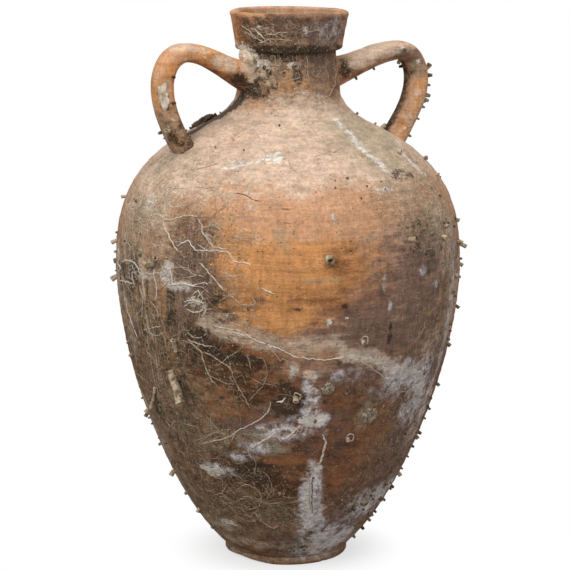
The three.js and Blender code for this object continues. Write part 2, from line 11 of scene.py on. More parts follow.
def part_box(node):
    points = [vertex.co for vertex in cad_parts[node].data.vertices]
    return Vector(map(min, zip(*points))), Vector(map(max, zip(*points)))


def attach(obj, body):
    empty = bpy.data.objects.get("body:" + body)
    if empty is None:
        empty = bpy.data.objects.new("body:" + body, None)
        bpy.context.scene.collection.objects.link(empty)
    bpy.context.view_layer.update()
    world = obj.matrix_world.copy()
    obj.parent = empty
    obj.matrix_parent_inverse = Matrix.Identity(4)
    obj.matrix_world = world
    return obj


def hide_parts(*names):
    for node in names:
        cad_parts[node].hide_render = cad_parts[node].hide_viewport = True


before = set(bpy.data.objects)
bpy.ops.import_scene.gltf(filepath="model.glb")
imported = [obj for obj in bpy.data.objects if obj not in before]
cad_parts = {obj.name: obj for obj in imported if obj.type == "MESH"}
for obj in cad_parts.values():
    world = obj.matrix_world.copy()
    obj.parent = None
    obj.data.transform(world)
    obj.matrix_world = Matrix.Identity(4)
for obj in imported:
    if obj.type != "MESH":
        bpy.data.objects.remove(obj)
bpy.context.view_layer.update()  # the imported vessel: its nodes, in metres, +Z up

bl_info = {
    "name": "Sea Amphora",
    "version": (1, 0, 0),
    "blender": (4, 5, 0),
    "location": "View3D > Sidebar > Amphora",
    "description": "Dresses a packed transport amphora in fired clay and sea growth",
    "category": "Object",
}

MM = 0.001

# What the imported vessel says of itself
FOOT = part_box("foot")
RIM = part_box("rim_collar")
NECK_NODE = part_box("neck")
WALL_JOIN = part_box("upper_body")[0].z


def hex_colour(code, alpha=1.0):
    """A hex sRGB colour as the linear values that shaders take."""
    values = [int(code[i : i + 2], 16) / 255 for i in (1, 3, 5)]
    linear = [v / 12.92 if v <= 0.04045 else ((v + 0.055) / 1.055) ** 2.4 for v in values]
    return (*linear, alpha)


def colour_property(name, code, description):
    return FloatVectorProperty(
        name=name, description=description, subtype="COLOR", size=4, min=0, max=1, default=hex_colour(code)
    )


def length_property(name, millimetres, description):
    return FloatProperty(name=name, description=description, unit="LENGTH", default=millimetres * MM, min=0)


def share_property(name, share, description):
    return FloatProperty(name=name, description=description, default=share, min=0)


class AmphoraForm(bpy.types.PropertyGroup):
    """The thrown outline of the vessel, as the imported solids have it."""

    foot_ledge: length_property("Foot ledge", 1.5, "How far the foot stands out past the wall")
    slip_gap: length_property("Slip gap", 0.3, "The slip between two luted sections")
    wall: length_property("Wall", 9, "Thickness of the thrown wall")
    floor: length_property("Floor", 12, "Thickness of the floor")
    edge_bevel: length_property("Edge bevel", 5, "Slant of a section's edge")
    belly_radius: length_property("Belly radius", 156.5, "The widest radius")
    belly_height: length_property("Belly height", 273, "Height of the widest radius")
    lower_pull: length_property("Lower pull", 67, "How long the wall keeps the lean that it has at the foot")
    belly_pull_down: length_property("Belly pull down", 88, "How long the wall stays upright below the belly")
    belly_pull_up: length_property("Belly pull up", 61, "How long the wall stays upright above the belly")
    shoulder_radius: length_property("Shoulder radius", 72, "Radius of the shoulder's upper edge")
    shoulder_height: length_property("Shoulder height", 400, "Height of the shoulder's upper edge")
    shoulder_pull: length_property("Shoulder pull", 73, "How long the shoulder keeps its slope")
    throat_radius: length_property("Throat radius", 46.5, "Radius where the neck starts")
    throat_height: length_property("Throat height", 428, "Height where the neck starts")
    neck_radius: length_property("Neck radius", 42, "Radius of the neck under the collar")
    ring_pitch: length_property("Ring pitch", 8.5, "Spacing of the throwing rings")
    ring_depth: length_property("Ring depth", 0.16, "Depth of the throwing rings")
    lump_depth: length_property("Lump depth", 0.7, "Height of the uneven film on the wall")


class AmphoraStrap(bpy.types.PropertyGroup):
    """The strap handles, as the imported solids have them."""

    thickness: length_property("Thickness", 17, "Thickness of a strap")
    width: length_property("Width", 30, "Width of a strap")
    drop: length_property("Drop", 24, "Collar down to the middle of a handle's neck end")
    root: length_property("Root", 7, "How far an end goes into the wall")
    neck_flare: share_property("Neck flare", 0.68, "How much the neck end thickens")
    neck_flare_length: length_property("Neck flare length", 19, "How far the neck end's flare reaches")
    foot_flare: share_property("Foot flare", 0.09, "How much the shoulder end thickens")
    foot_flare_length: length_property("Foot flare length", 9, "How far the shoulder end's flare reaches")
    flare_aside: share_property("Flare aside", 0.5, "Widening against thickening")


class AmphoraGrowth(bpy.types.PropertyGroup):
    """What the sea left on the clay."""

    tube_root: length_property("Tube root", 3, "Start of a tube's path inside the wall")
    shell_root: length_property("Shell root", 2, "Start of a shell inside the wall")
    trail_sides: IntProperty(name="Trail sides", description="Sides of a thin worm trail", default=6, min=4)
    trail_step: length_property("Trail step", 1.2, "Distance between two points of a worm trail")
    seed: IntProperty(name="Seed", description="Seed of everything scattered", default=7)


class AmphoraColours(bpy.types.PropertyGroup):
    """Colours of clay, films and lime, as they look in plain light."""

    clay: colour_property("Clay", "#B98B66", "Bare fired clay")
    clay_pale: colour_property("Pale clay", "#CBA285", "Bare clay where the sea bleached it")
    clay_grey: colour_property("Grey clay", "#A08D75", "Bare clay that algae greyed")
    ember: colour_property("Ember", "#D09055", "Clay rubbed clean to its orange")
    # Blush and silt also lay a painted highlight on the handles' upper faces
    blush: colour_property("Blush", "#CB9A77", "Clay under a thin pinkish slip")
    rust: colour_property("Rust", "#7C4E2F", "Reddish brown film")
    russet: colour_property("Russet", "#8F5F3D", "Rubbed rust, nearly orange")
    # Umber and soot also lay painted shade under the collar, under the left handle's neck end and on the
    # handles' inner faces and ends
    umber: colour_property("Umber", "#422914", "Dark brown film")
    plum: colour_property("Plum", "#6C554D", "Grey purple film")
    silt: colour_property("Silt", "#D3BCA6", "Pale silt film")
    olive: colour_property("Olive", "#A1957A", "Greenish film")
    soot: colour_property("Soot", "#31261E", "Blackish film")
    lilac: colour_property("Lilac", "#E8E1E1", "Grey lilac lime")
    lime: colour_property("Lime", "#DBD2C6", "Chalky lime")
    thread: colour_property("Thread", "#BFA582", "The finest worm threads")
    tube: colour_property("Tube", "#CDBA9C", "Worm tube")
    strap: colour_property("Strap", "#C79A72", "The handles' clay")


# Smooth value noise, the same at the same place on every piece
def grain(points, size, seed=0):
    """Noise from -1 to 1 whose lumps have one size, in metres."""
    scaled = points / size + seed * 17.31
    cell = np.floor(scaled).astype(np.int64)
    part = scaled - cell
    part = part * part * (3 - 2 * part)
    total = np.zeros(len(points))
    for corner in range(8):
        step = np.array([(corner >> axis) & 1 for axis in range(3)])
        key = (cell + step) @ np.array([15731, 789221, 1376312]) + seed * 1013
        key = (key ^ (key >> 13)) & 0xFFFFFFF
        key = (key * ((key * key * 15731 + 789221) & 0xFFFFFFF) + 1376312589) & 0x7FFFFFFF
        weight = np.prod(np.where(step, part, 1 - part), axis=1)
        total += weight * (key / 0x3FFFFFFF - 1)
    return total


def rough_grain(points, size, octaves=3, seed=0):
    """Noise with finer lumps on the larger ones."""
    layers = [grain(points, size / 2**i, seed + i) / 2**i for i in range(octaves)]
    return sum(layers) / sum(1 / 2**i for i in range(octaves))


def bezier(start, pull_out, pull_in, end, steps=160):
    """Points on a cubic curve."""
    t = np.linspace(0, 1, steps)[:, None]
    corners = [np.array(corner, float) for corner in (start, pull_out, pull_in, end)]
    shares = [(1 - t) ** 3, 3 * (1 - t) ** 2 * t, 3 * (1 - t) * t**2, t**3]
    return sum(share * corner for share, corner in zip(shares, corners))


# The wall's directions, in degrees above level where it leaves the foot and below level at the shoulder's
# upper edge, and how long it keeps them past that edge and under the throat
WALL_LEAN = 40
SHOULDER_SLOPE = 25
SHOULDER_END = 15 * MM
THROAT_PULL = 8 * MM


def chain(curves):
    """Curves end to end: their points, and how far along the line each lies and where it heads."""
    points = np.vstack([curves[0]] + [curve[1:] for curve in curves[1:]])
    steps = np.linalg.norm(np.diff(points, axis=0), axis=1)
    distance = np.concatenate([[0], np.cumsum(steps)])
    return points, distance, np.gradient(points, distance, axis=0)


class Outline:
    """The wall's outside from the foot to the collar: radius and height by distance up the wall."""

    def __init__(self, form):
        foot_radius = FOOT[1].x - form.foot_ledge
        foot_top = FOOT[1].z + form.slip_gap
        collar = RIM[0].z
        lean = math.radians(WALL_LEAN)
        slope = math.radians(SHOULDER_SLOPE)
        belly = (form.belly_radius, form.belly_height)
        shoulder = (form.shoulder_radius, form.shoulder_height)
        throat = (form.throat_radius, form.throat_height)
        along = np.array([math.cos(slope), -math.sin(slope)])
        third = (collar - form.throat_height) / 3
        curves = [
            bezier(
                (foot_radius, foot_top),
                (foot_radius + form.lower_pull * math.cos(lean), foot_top + form.lower_pull * math.sin(lean)),
                (form.belly_radius, form.belly_height - form.belly_pull_down),
                belly,
            ),
            bezier(
                belly,
                (form.belly_radius, form.belly_height + form.belly_pull_up),
                np.array(shoulder) + form.shoulder_pull * along,
                shoulder,
            ),
            bezier(
                shoulder,
                np.array(shoulder) - SHOULDER_END * along,
                (form.throat_radius, form.throat_height - THROAT_PULL),
                throat,
            ),
            bezier(
                throat,
                (form.throat_radius, form.throat_height + third),
                (form.neck_radius, collar - third),
                (form.neck_radius, collar),
            ),
        ]
        points, self.distance, self.slope = chain(curves)
        self.radius, self.height = points.T
        self.length = self.distance[-1]

    def at(self, distance, depth=0.0):
        """Radius and height at distances up the wall, at a depth under the outside."""
        r = np.interp(distance, self.distance, self.radius)
        z = np.interp(distance, self.distance, self.height)
        along_r, along_z = self.along(distance)
        return r - along_z * depth, z + along_r * depth

    def along(self, distance):
        """The wall's direction, as its radius and height parts."""
        return [np.interp(distance, self.distance, self.slope[:, i]) for i in (0, 1)]

    def reach(self, height):
        """The distance up the wall at a height."""
        return np.interp(height, self.height, self.distance)

    def place(self, turn, distance):
        """Points and outward directions on the wall, for turns in radians."""
        r, z = self.at(distance)
        along_r, along_z = self.along(distance)
        cos, sin = np.cos(turn), np.sin(turn)
        points = np.stack([r * cos, r * sin, z], axis=-1)
        out = np.stack([along_z * cos, along_z * sin, -along_r + 0 * cos], axis=-1)
        return points, out


def settings(group):
    """One of the scene's groups of sizes or colours."""
    return getattr(bpy.context.scene, "amphora_" + group)


def outline():
    return Outline(settings("form"))


# The camera's view, which also places the marks on the clay: metres, degrees, the lens and the sensor in
# millimetres, and how many points its square picture has each way
VIEW_DISTANCE = 2.03
VIEW_HEIGHT = 0.66
VIEW_ASIDE = -2.3 * MM
VIEW_TURN = -25
VIEW_PITCH = 11.431
VIEW_ROLL = 0.35
VIEW_LENS = 142.97
VIEW_SENSOR = 36
VIEW_POINTS = 570
# A ray of the camera is followed from this far before the vessel's axis to this far past it (m), in so
# many points. A mark near the outline is stretched only as if the clay there faced the camera this much.
RAY_BEFORE, RAY_PAST, RAY_POINTS = 0.25, 0.15, 3000
LEAST_ACROSS, LEAST_UP = 0.35, 0.2
# How much narrower the collar is than the lip, at its lower edge and at its top
COLLAR_FLARE, COLLAR_EDGE = 5.5 * MM, 0.6 * MM
# Where the clay of the collar starts in the picture, above its undercut
UNDERCUT = 2 * MM


def view():
    """The camera's place, and its directions right, up and ahead."""
    turn, pitch, roll = (math.radians(value) for value in (VIEW_TURN, VIEW_PITCH, VIEW_ROLL))
    right = Vector((math.cos(turn), math.sin(turn), 0))
    back = Vector((math.sin(turn), -math.cos(turn), 0))
    ahead = (-back * math.cos(pitch) - Vector((0, 0, math.sin(pitch)))).normalized()
    up = right.cross(ahead)
    place = back * VIEW_DISTANCE + Vector((0, 0, VIEW_HEIGHT)) + right * VIEW_ASIDE
    tilted = right * math.cos(roll) + up * math.sin(roll)
    return place, tilted, up * math.cos(roll) - right * math.sin(roll), ahead


def picture(points):
    """Where points lie in the camera's picture: x and y."""
    place, right, up, ahead = (np.array(part) for part in view())
    away = points - place
    scale = VIEW_LENS / VIEW_SENSOR * VIEW_POINTS / (away @ ahead)
    return VIEW_POINTS / 2 + (away @ right) * scale, VIEW_POINTS / 2 - (away @ up) * scale


def seen(x, y, wall):
    """The place on the clay that the camera sees at a point of its picture: its turn (radians) and its
    height, and what a length across and a length up there are stretched by on the curved wall."""
    place, right, up, ahead = (np.array(part) for part in view())
    focal = VIEW_LENS / VIEW_SENSOR * VIEW_POINTS
    ray = ahead + right * (x - VIEW_POINTS / 2) / focal - up * (y - VIEW_POINTS / 2) / focal
    away = np.linspace(VIEW_DISTANCE - RAY_BEFORE, VIEW_DISTANCE + RAY_PAST, RAY_POINTS)
    line = place + ray * away[:, None]
    heights = np.concatenate([[0, FOOT[1].z], wall.height, [RIM[0].z + UNDERCUT, RIM[1].z]])
    radii = np.concatenate([[FOOT[1].x, FOOT[1].x], wall.radius, collar_radius(heights[-2:])])
    outside = np.hypot(line[:, 0], line[:, 1]) - np.interp(line[:, 2], heights, radii)
    met = np.argmax(outside < 0) if (outside < 0).any() else np.argmin(outside)
    turn = math.atan2(line[met, 1], line[met, 0]) % (2 * math.pi)
    facing = max(math.cos(turn - math.atan2(place[1], place[0])), LEAST_ACROSS)
    along_r, along_z = wall.along(wall.reach(line[met, 2]))
    pitch = math.radians(VIEW_PITCH)
    rise = max(along_z * math.cos(pitch) - along_r * math.sin(pitch) * facing, LEAST_UP)
    return turn, float(line[met, 2]), 1 / facing, along_z / rise


def collar_radius(height):
    """The radius of the collar's outside, which widens towards the lip."""
    return np.interp(height, [RIM[0].z, RIM[1].z], [RIM[1].x - COLLAR_FLARE, RIM[1].x - COLLAR_EDGE])


# Where the films lie on the clay, and where some umber and soot are laid as painted shade. A dab is a
# place in the camera's picture (x, y), a half width and a half height as they look from there (mm), and how
# strong it is.
DABS = {
    "ember": [
        (284, 278, 60, 42, 1.0), (250, 256, 30, 26, 0.8), (326, 262, 30, 22, 0.75), (262, 316, 38, 16, 1.0),
        (300, 320, 26, 11, 0.9), (224, 250, 26, 46, 0.62), (228, 225, 16, 14, 0.7), (178, 210, 10, 9, 0.6),
        (205, 232, 10, 9, 0.7), (222, 268, 10, 10, 0.75), (164, 308, 2.6, 22, 1.15),
        (166, 334, 2.4, 12, 0.8), (172, 350, 4, 14, 0.7), (255, 348, 24, 7, 0.7), (300, 90, 13, 8, 0.7),
        (239, 36, 5, 16, 0.75), (345, 34, 4, 16, 0.7), (290, 15, 60, 4, 0.6), (250, 122, 8, 22, 0.5),
    ],
    "blush": [
        (300, 203, 66, 19, 1.1), (250, 204, 36, 16, 0.95), (352, 214, 28, 18, 0.85), (320, 229, 44, 8, 0.9),
        (335, 168, 44, 22, 0.8), (215, 205, 12, 9, 0.55), (250, 176, 56, 9, 0.7), (300, 150, 40, 16, 0.6),
        (190, 182, 26, 8, 0.5), (392, 205, 16, 12, 0.5),
    ],
    "rust": [
        (255, 346, 28, 9, 1.0), (233, 343, 12, 7, 0.85), (332, 405, 24, 18, 0.95), (395, 425, 15, 26, 0.75),
        (345, 480, 34, 30, 0.95), (300, 385, 12, 14, 0.5), (225, 400, 18, 14, 0.85),
        (172, 352, 7, 22, 0.85), (152, 303, 5, 14, 0.5), (205, 255, 10, 24, 0.5), (348, 300, 28, 10, 0.62),
        (290, 461, 30, 6, 0.9), (365, 440, 22, 20, 0.7), (256, 405, 14, 12, 0.7), (205, 420, 16, 10, 0.5),
        (345, 262, 16, 16, 0.45), (298, 300, 10, 12, 0.45), (240, 300, 26, 8, 0.45),
    ],
    "umber": [
        (198, 300, 17, 18, 0.9), (215, 316, 14, 9, 0.85), (205, 345, 24, 15, 0.95), (235, 361, 32, 7, 1.0),
        (228, 380, 32, 18, 0.75), (190, 385, 20, 22, 0.65), (186, 262, 15, 20, 0.72),
        (178, 232, 9, 18, 0.5), (150, 330, 18, 44, 0.62), (136, 300, 12, 40, 0.5), (232, 470, 40, 20, 0.8),
        (262, 500, 40, 26, 0.85), (250, 476, 16, 12, 0.95), (335, 266, 10, 6, 0.4),
        (180, 420, 32, 50, 0.62), (215, 500, 40, 34, 0.8), (175, 350, 18, 30, 0.75),
        (135, 350, 20, 40, 0.55), (125, 300, 14, 40, 0.55), (250, 440, 40, 16, 0.62),
        (355, 400, 30, 10, 0.5), (320, 480, 10, 30, 0.4), (286, 30, 46, 11, 0.8), (258, 36, 22, 9, 0.8),
        # Painted shade: (250, 82) under the left handle's neck end, and (290, 57) and (285, 54) in the shadow
        # under the collar
        (250, 397, 13, 8, 0.95), (322, 20, 30, 6, 0.5), (250, 82, 11, 14, 0.9), (290, 57, 26, 4, 0.8),
        (330, 60, 14, 8, 0.5), (276, 78, 12, 10, 0.45), (215, 455, 14, 12, 0.6), (285, 54, 44, 6, 1.1),
        (282, 42, 40, 4, 0.65), (372, 470, 10, 30, 0.4), (352, 395, 26, 8, 0.5), (405, 400, 8, 30, 0.4),
        (302, 470, 8, 16, 0.5), (424, 262, 10, 12, 0.6), (436, 236, 8, 10, 0.5), (130, 250, 8, 12, 0.5),
        (141, 325, 8, 24, 0.6), (150, 345, 10, 10, 0.7), (157, 262, 6, 8, 0.4), (138, 220, 9, 12, 0.5),
        (148, 262, 8, 8, 0.5), (250, 476, 28, 8, 1.1),
    ],
    "plum": [
        (420, 290, 28, 56, 0.8), (396, 300, 30, 36, 0.68), (370, 318, 26, 14, 0.95),
        (350, 332, 34, 9, 0.95), (388, 336, 34, 13, 1.0), (425, 342, 16, 16, 0.8), (382, 262, 16, 14, 0.42),
        (430, 252, 13, 22, 0.85), (160, 232, 14, 20, 0.38), (194, 238, 14, 16, 0.75),
        (190, 262, 15, 13, 0.9), (188, 215, 12, 10, 0.5), (196, 284, 17, 12, 0.8), (177, 298, 8, 24, 0.85),
        (186, 318, 10, 10, 0.5), (362, 372, 28, 11, 0.85), (382, 400, 20, 14, 0.6), (302, 364, 22, 6, 0.5),
        (350, 425, 10, 6, 0.6), (375, 395, 16, 8, 0.7), (394, 412, 10, 16, 0.75), (402, 440, 14, 24, 0.85),
        (330, 418, 10, 6, 0.6), (318, 455, 12, 8, 0.5), (382, 472, 14, 18, 0.7), (348, 508, 16, 9, 0.6),
        (335, 376, 16, 8, 0.6), (250, 430, 24, 9, 0.75), (272, 420, 18, 10, 0.65), (330, 522, 30, 14, 0.6),
        (292, 540, 40, 10, 0.5), (392, 470, 14, 20, 0.62), (326, 32, 20, 12, 0.9), (298, 24, 26, 8, 0.7),
        (447, 290, 16, 56, 0.62), (440, 350, 14, 30, 0.7), (345, 440, 40, 30, 0.5),
        (400, 440, 20, 30, 0.55), (350, 500, 26, 20, 0.5), (326, 72, 13, 20, 0.75), (318, 86, 10, 14, 0.6),
        (284, 62, 30, 7, 0.45), (240, 120, 30, 7, 0.4), (205, 166, 14, 7, 0.35), (300, 106, 30, 6, 0.4),
    ],
    "russet": [
        (345, 404, 8, 5, 0.75), (334, 398, 6, 4, 0.4), (374, 432, 12, 11, 0.85), (356, 456, 10, 9, 0.7),
        (340, 474, 9, 14, 0.7), (384, 408, 8, 8, 0.75), (222, 408, 12, 8, 0.6), (288, 461, 24, 3.5, 0.95),
        (222, 393, 8, 6, 0.7), (262, 352, 15, 7, 0.8), (352, 425, 8, 6, 0.6), (326, 440, 8, 8, 0.6),
        (172, 352, 3, 14, 0.7), (152, 306, 2, 8, 0.3), (202, 388, 8, 6, 0.6), (205, 422, 8, 5, 0.5),
        (254, 547, 9, 4, 0.8), (330, 552, 22, 4, 0.7), (236, 543, 7, 3, 0.6), (286, 556, 26, 2.5, 0.6),
        (424, 360, 6, 6, 0.6), (432, 385, 4, 12, 0.5), (178, 208, 5, 6, 0.5), (184, 228, 3, 6, 0.6),
        (345, 34, 4, 16, 0.7), (240, 30, 4, 14, 0.6), (300, 90, 10, 7, 0.5), (338, 92, 6, 10, 0.5),
    ],
    "silt": [
        (165, 176, 36, 18, 0.85), (149, 203, 5, 9, 1.1), (446, 235, 8, 34, 0.6), (450, 310, 5, 50, 0.5),
        (436, 205, 10, 14, 0.5), (432, 345, 10, 12, 0.5), (414, 430, 5, 18, 0.5), (156, 219, 4, 4, 0.8),
        (172, 184, 12, 4, 0.9), (141, 200, 18, 24, 0.72), (130, 226, 13, 22, 0.4), (294, 371, 4, 6, 0.95),
        (310, 375, 6, 3, 0.8), (322, 370, 6, 3, 0.5), (190, 188, 22, 8, 0.5), (300, 100, 30, 6, 0.55),
        (215, 522, 16, 6, 0.5), (240, 541, 26, 5, 0.6), (320, 545, 26, 7, 0.7), (372, 365, 16, 5, 0.5),
        (122, 285, 6, 20, 0.6), (140, 265, 10, 8, 0.6), (255, 63, 10, 7, 1.0), (262, 72, 8, 6, 0.7),
        (130, 330, 5, 24, 0.45),
    ],
    "olive": [
        (370, 140, 22, 18, 0.95), (386, 156, 18, 11, 0.85), (355, 124, 14, 9, 0.7),
        (426, 226, 16, 30, 0.45), (283, 241, 8, 8, 0.62), (135, 232, 12, 26, 0.5), (125, 290, 8, 24, 0.4),
        (150, 385, 8, 20, 0.35), (168, 166, 16, 9, 0.4), (202, 155, 22, 7, 0.35), (274, 449, 9, 5, 0.9),
        (180, 410, 30, 50, 0.42), (215, 440, 26, 14, 0.5), (262, 436, 12, 6, 0.8), (150, 300, 24, 30, 0.3),
        (155, 425, 10, 50, 0.5), (180, 480, 14, 30, 0.5), (240, 552, 30, 5, 0.55), (300, 556, 40, 4, 0.45),
        (215, 520, 14, 20, 0.45), (367, 413, 6, 9, 0.8), (360, 428, 4, 4, 0.5), (250, 520, 44, 24, 0.4),
        (182, 402, 9, 12, 0.5), (400, 190, 14, 14, 0.5),
    ],
    "soot": [
        (290, 402, 13, 15, 0.95), (284, 388, 8, 6, 0.85), (131, 272, 2.4, 14, 1.0),
        (135, 268, 2.4, 12, 0.9), (129, 288, 2, 10, 0.8), (172, 304, 2.4, 15, 0.95), (124, 272, 3, 8, 1.1),
        (132, 270, 3, 6, 1.1), (121, 284, 2.4, 6, 0.9), (127, 291, 2, 6, 0.9), (240, 474, 22, 5, 0.9),
        (199, 336, 8, 6, 0.9), (214, 350, 7, 5, 1.0), (234, 357, 13, 3.5, 1.0), (253, 361, 9, 2.6, 0.9),
        (193, 352, 6, 11, 0.7), (186, 326, 6, 9, 0.65), (420, 228, 10, 8, 0.4), (412, 246, 8, 9, 0.4),
        (428, 256, 7, 12, 0.35), (405, 176, 9, 3, 0.6), (398, 172, 5, 3, 0.65), (250, 470, 16, 10, 0.75),
        (263, 479, 9, 9, 0.7), (405, 435, 1.6, 1.6, 1.0), (400, 460, 1.8, 1.8, 1.1),
        (395, 455, 1.4, 1.4, 0.9), (391, 471, 1.5, 1.5, 1.0), (367, 498, 1.6, 1.6, 1.1),
        (358, 505, 2, 2, 1.1), (425, 378, 1.6, 2, 1.0), (416, 424, 1.6, 1.6, 1.0),
        (338, 528, 1.5, 1.5, 1.0), (232, 492, 1.6, 2, 1.0), (222, 398, 2.4, 1.2, 1.0),
        (235, 474, 1.5, 1.5, 0.9), (159, 409, 2.5, 8, 1.1), (390, 334, 1.6, 6.5, 1.1),
        # Painted shade: (251, 88) under the left handle's neck end, (298, 76) the shadow below a lime blob on
        # the neck, and (282, 51), (262, 54) and (250, 50) the shadow under the collar
        (346, 361, 9, 3, 0.4), (251, 88, 7, 8, 0.95), (298, 76, 3.4, 6, 1.0), (269, 73, 2.6, 4, 0.9),
        (266, 96, 4, 6, 0.5), (345, 306, 2.4, 2.4, 0.8), (298, 309, 6, 1.8, 0.6), (302, 545, 6, 3, 0.6),
        (312, 530, 4, 4, 0.6), (358, 504, 3, 3, 0.9), (262, 40, 10, 3, 0.5), (282, 51, 40, 3.2, 1.2),
        (262, 54, 18, 4, 1.0), (250, 50, 10, 4, 0.9), (218, 300, 6, 4, 0.6), (184, 386, 5, 10, 0.7),
        (182, 442, 10, 8, 0.4),
    ],
    "lilac": [
        (410, 375, 15, 8, 0.85), (418, 391, 8, 15, 0.78), (400, 368, 10, 6, 0.8), (395, 386, 13, 9, 0.42),
        (410, 410, 6, 12, 0.55), (311, 400, 6, 15, 0.62), (316, 421, 8, 4.5, 1.05), (300, 420, 8, 3.5, 0.7),
        (344, 376, 12, 5, 0.35), (285, 432, 22, 6, 0.54), (309, 500, 7, 24, 1.0), (313, 520, 9, 10, 0.95),
        (331, 536, 18, 9, 0.8), (320, 549, 22, 6, 0.62), (371, 500, 13, 11, 0.72), (386, 487, 8, 8, 0.55),
        (355, 513, 10, 7, 0.5), (216, 469, 10, 4, 0.7), (240, 456, 10, 3, 0.42), (258, 447, 11, 5, 0.52),
        (178, 285, 9, 4, 0.8), (435, 285, 1.8, 3, 0.6), (384, 284, 1.2, 5, 0.7), (390, 306, 1.2, 3.4, 0.7),
        (422, 271, 2.4, 3, 0.5), (451, 300, 2, 50, 0.4), (424, 405, 4, 20, 0.5), (350, 536, 9, 4, 0.5),
        (330, 30, 12, 8, 0.35), (425, 365, 7, 8, 0.6), (150, 430, 10, 16, 0.3),
    ],
    "lime": [
        (149, 203, 3, 7, 0.6), (167, 269, 4, 7, 0.95), (178, 284, 9, 2.6, 1.0), (275, 157, 6, 4, 0.85),
        (236, 162, 8, 1.6, 0.6), (383, 190, 8, 2, 0.75), (329, 322, 2, 2, 1.05), (347, 318, 1, 1, 1.0),
        (334, 218, 2, 5, 0.5), (312, 421, 8, 3.6, 1.1), (318, 468, 3, 4.5, 1.0), (309, 495, 2.4, 18, 0.85),
        (228, 522, 6, 2, 1.1), (214, 472, 6, 3, 0.95), (205, 468, 4, 2.4, 0.75), (165, 278, 4, 6, 0.8),
        (294, 371, 2.6, 4.4, 0.8), (262, 28, 6, 2, 0.5), (305, 30, 2.4, 2.4, 0.7), (248, 52, 6, 7, 1.0),
        (258, 63, 7, 3, 0.9), (294, 66, 4.5, 2.6, 1.1), (197, 302, 8, 4, 0.6), (118, 255, 2.4, 6, 0.9),
        (140, 274, 9, 2.2, 0.75), (408, 372, 8, 3, 0.7), (420, 385, 3, 7, 0.6), (370, 497, 6, 4, 0.5),
        (252, 207, 2.6, 3, 0.5), (316, 535, 5, 5, 0.6), (224, 168, 3, 1.2, 0.8),
    ],
    "threads": [
        (235, 505, 42, 30, 1.0), (215, 436, 30, 16, 0.7), (208, 280, 36, 50, 0.75), (225, 362, 42, 50, 0.5),
        (425, 205, 28, 24, 0.7), (390, 200, 18, 12, 0.5), (366, 416, 8, 10, 0.9), (395, 462, 14, 20, 0.6),
        (150, 235, 28, 36, 0.9), (128, 320, 10, 40, 0.8), (400, 330, 30, 14, 0.5), (150, 350, 20, 70, 0.8),
        (285, 32, 46, 12, 0.75), (290, 75, 44, 20, 0.85), (390, 380, 34, 44, 0.45), (250, 195, 60, 20, 0.3),
        (388, 445, 24, 50, 0.62), (350, 500, 40, 14, 0.5),
    ],
    "runs": [
        (128, 320, 14, 56, 1.0), (145, 345, 16, 60, 0.9), (165, 330, 12, 34, 0.8), (160, 400, 20, 50, 0.6),
        (447, 280, 8, 70, 0.7), (425, 350, 14, 30, 0.5), (395, 430, 18, 40, 0.5), (130, 240, 14, 30, 0.6),
        (200, 240, 20, 40, 0.4),
    ],
}
# A stroke is a line of places in that picture, a half width (mm) and a strength.
STROKES = {
    "silt": [
        ([(205, 324), (222, 329), (240, 335), (256, 340), (272, 344), (290, 347), (312, 346),
        (336, 343)], 6, 0.68), ([(214, 316), (236, 324), (258, 332)], 5, 0.5), ([(346, 354), (362, 356),
        (380, 360), (394, 369)], 5.5, 0.95), ([(240, 235), (260, 240)], 5, 0.3), ([(119, 240), (117, 262),
        (120, 300)], 1.8, 0.9), ([(126, 232), (125, 262)], 2, 0.9), ([(133, 236), (134, 262),
        (137, 274)], 1.6, 0.85), ([(141, 250), (143, 276), (144, 300)], 1.4, 0.8), ([(126, 300), (131, 330),
        (136, 360)], 1.2, 0.8), ([(135, 300), (140, 336)], 1, 0.7), ([(150, 262), (151, 290)], 1.6, 0.8),
        ([(146, 330), (153, 372), (160, 400)], 1, 0.6), ([(449, 232), (453, 262), (453, 300),
        (448, 340)], 1.6, 0.7), ([(440, 240), (444, 280)], 1, 0.6), ([(404, 440), (420, 410),
        (428, 388)], 2.2, 0.6),
    ],
    "olive": [([(304, 281), (320, 281), (342, 280)], 1.4, 0.75)],
    "soot": [
        # The first stroke follows the shoulder's outline behind the left handle: a dark crust there, with
        # painted shadow along it
        ([(193, 132), (207, 123), (223, 114), (235, 106), (243, 96)], 4.4, 1.1), ([(122, 272),
        (124, 310)], 1.2, 1.0), ([(129, 280), (133, 322)], 1.2, 0.95), ([(138, 278), (140, 312),
        (146, 340)], 1.3, 0.9), ([(147, 282), (149, 318)], 1.1, 0.9), ([(168, 286), (169, 326)], 1.3, 1.0),
        ([(121, 312), (127, 342)], 1.2, 0.8), ([(156, 330), (160, 360)], 1.2, 0.7), ([(438, 300),
        (434, 330)], 1.0, 0.5),
    ],
    "lime": [
        ([(338, 121), (350, 134), (361, 148), (373, 158), (387, 172)], 3, 0.72), ([(400, 152), (412, 163),
        (424, 174)], 3, 0.74), ([(222, 169), (240, 166), (258, 162), (270, 158)], 1, 0.85), ([(350, 355),
        (366, 358), (384, 363)], 2, 0.7),
    ],
}
# A band goes all round: it starts, is full, is full and ends at four heights (mm), and has a strength.
BANDS = {
    # The umber band from 463 to 468 mm is painted shade all round under the collar. The rust and umber bands
    # from the foot up to about 230 mm make the lower body darker towards the bottom.
    "rust": [(-20, 0, 196, 238, 0.85)],
    "umber": [(-20, 0, 184, 226, 0.42), (463, 464, 467, 468, 1.0)],
    "silt": [(340, 374, 416, 440, 0.8), (-10, -5, 9, 12, 0.3)],
    "threads": [(-20, 0, 470, 520, 0.2)],
}
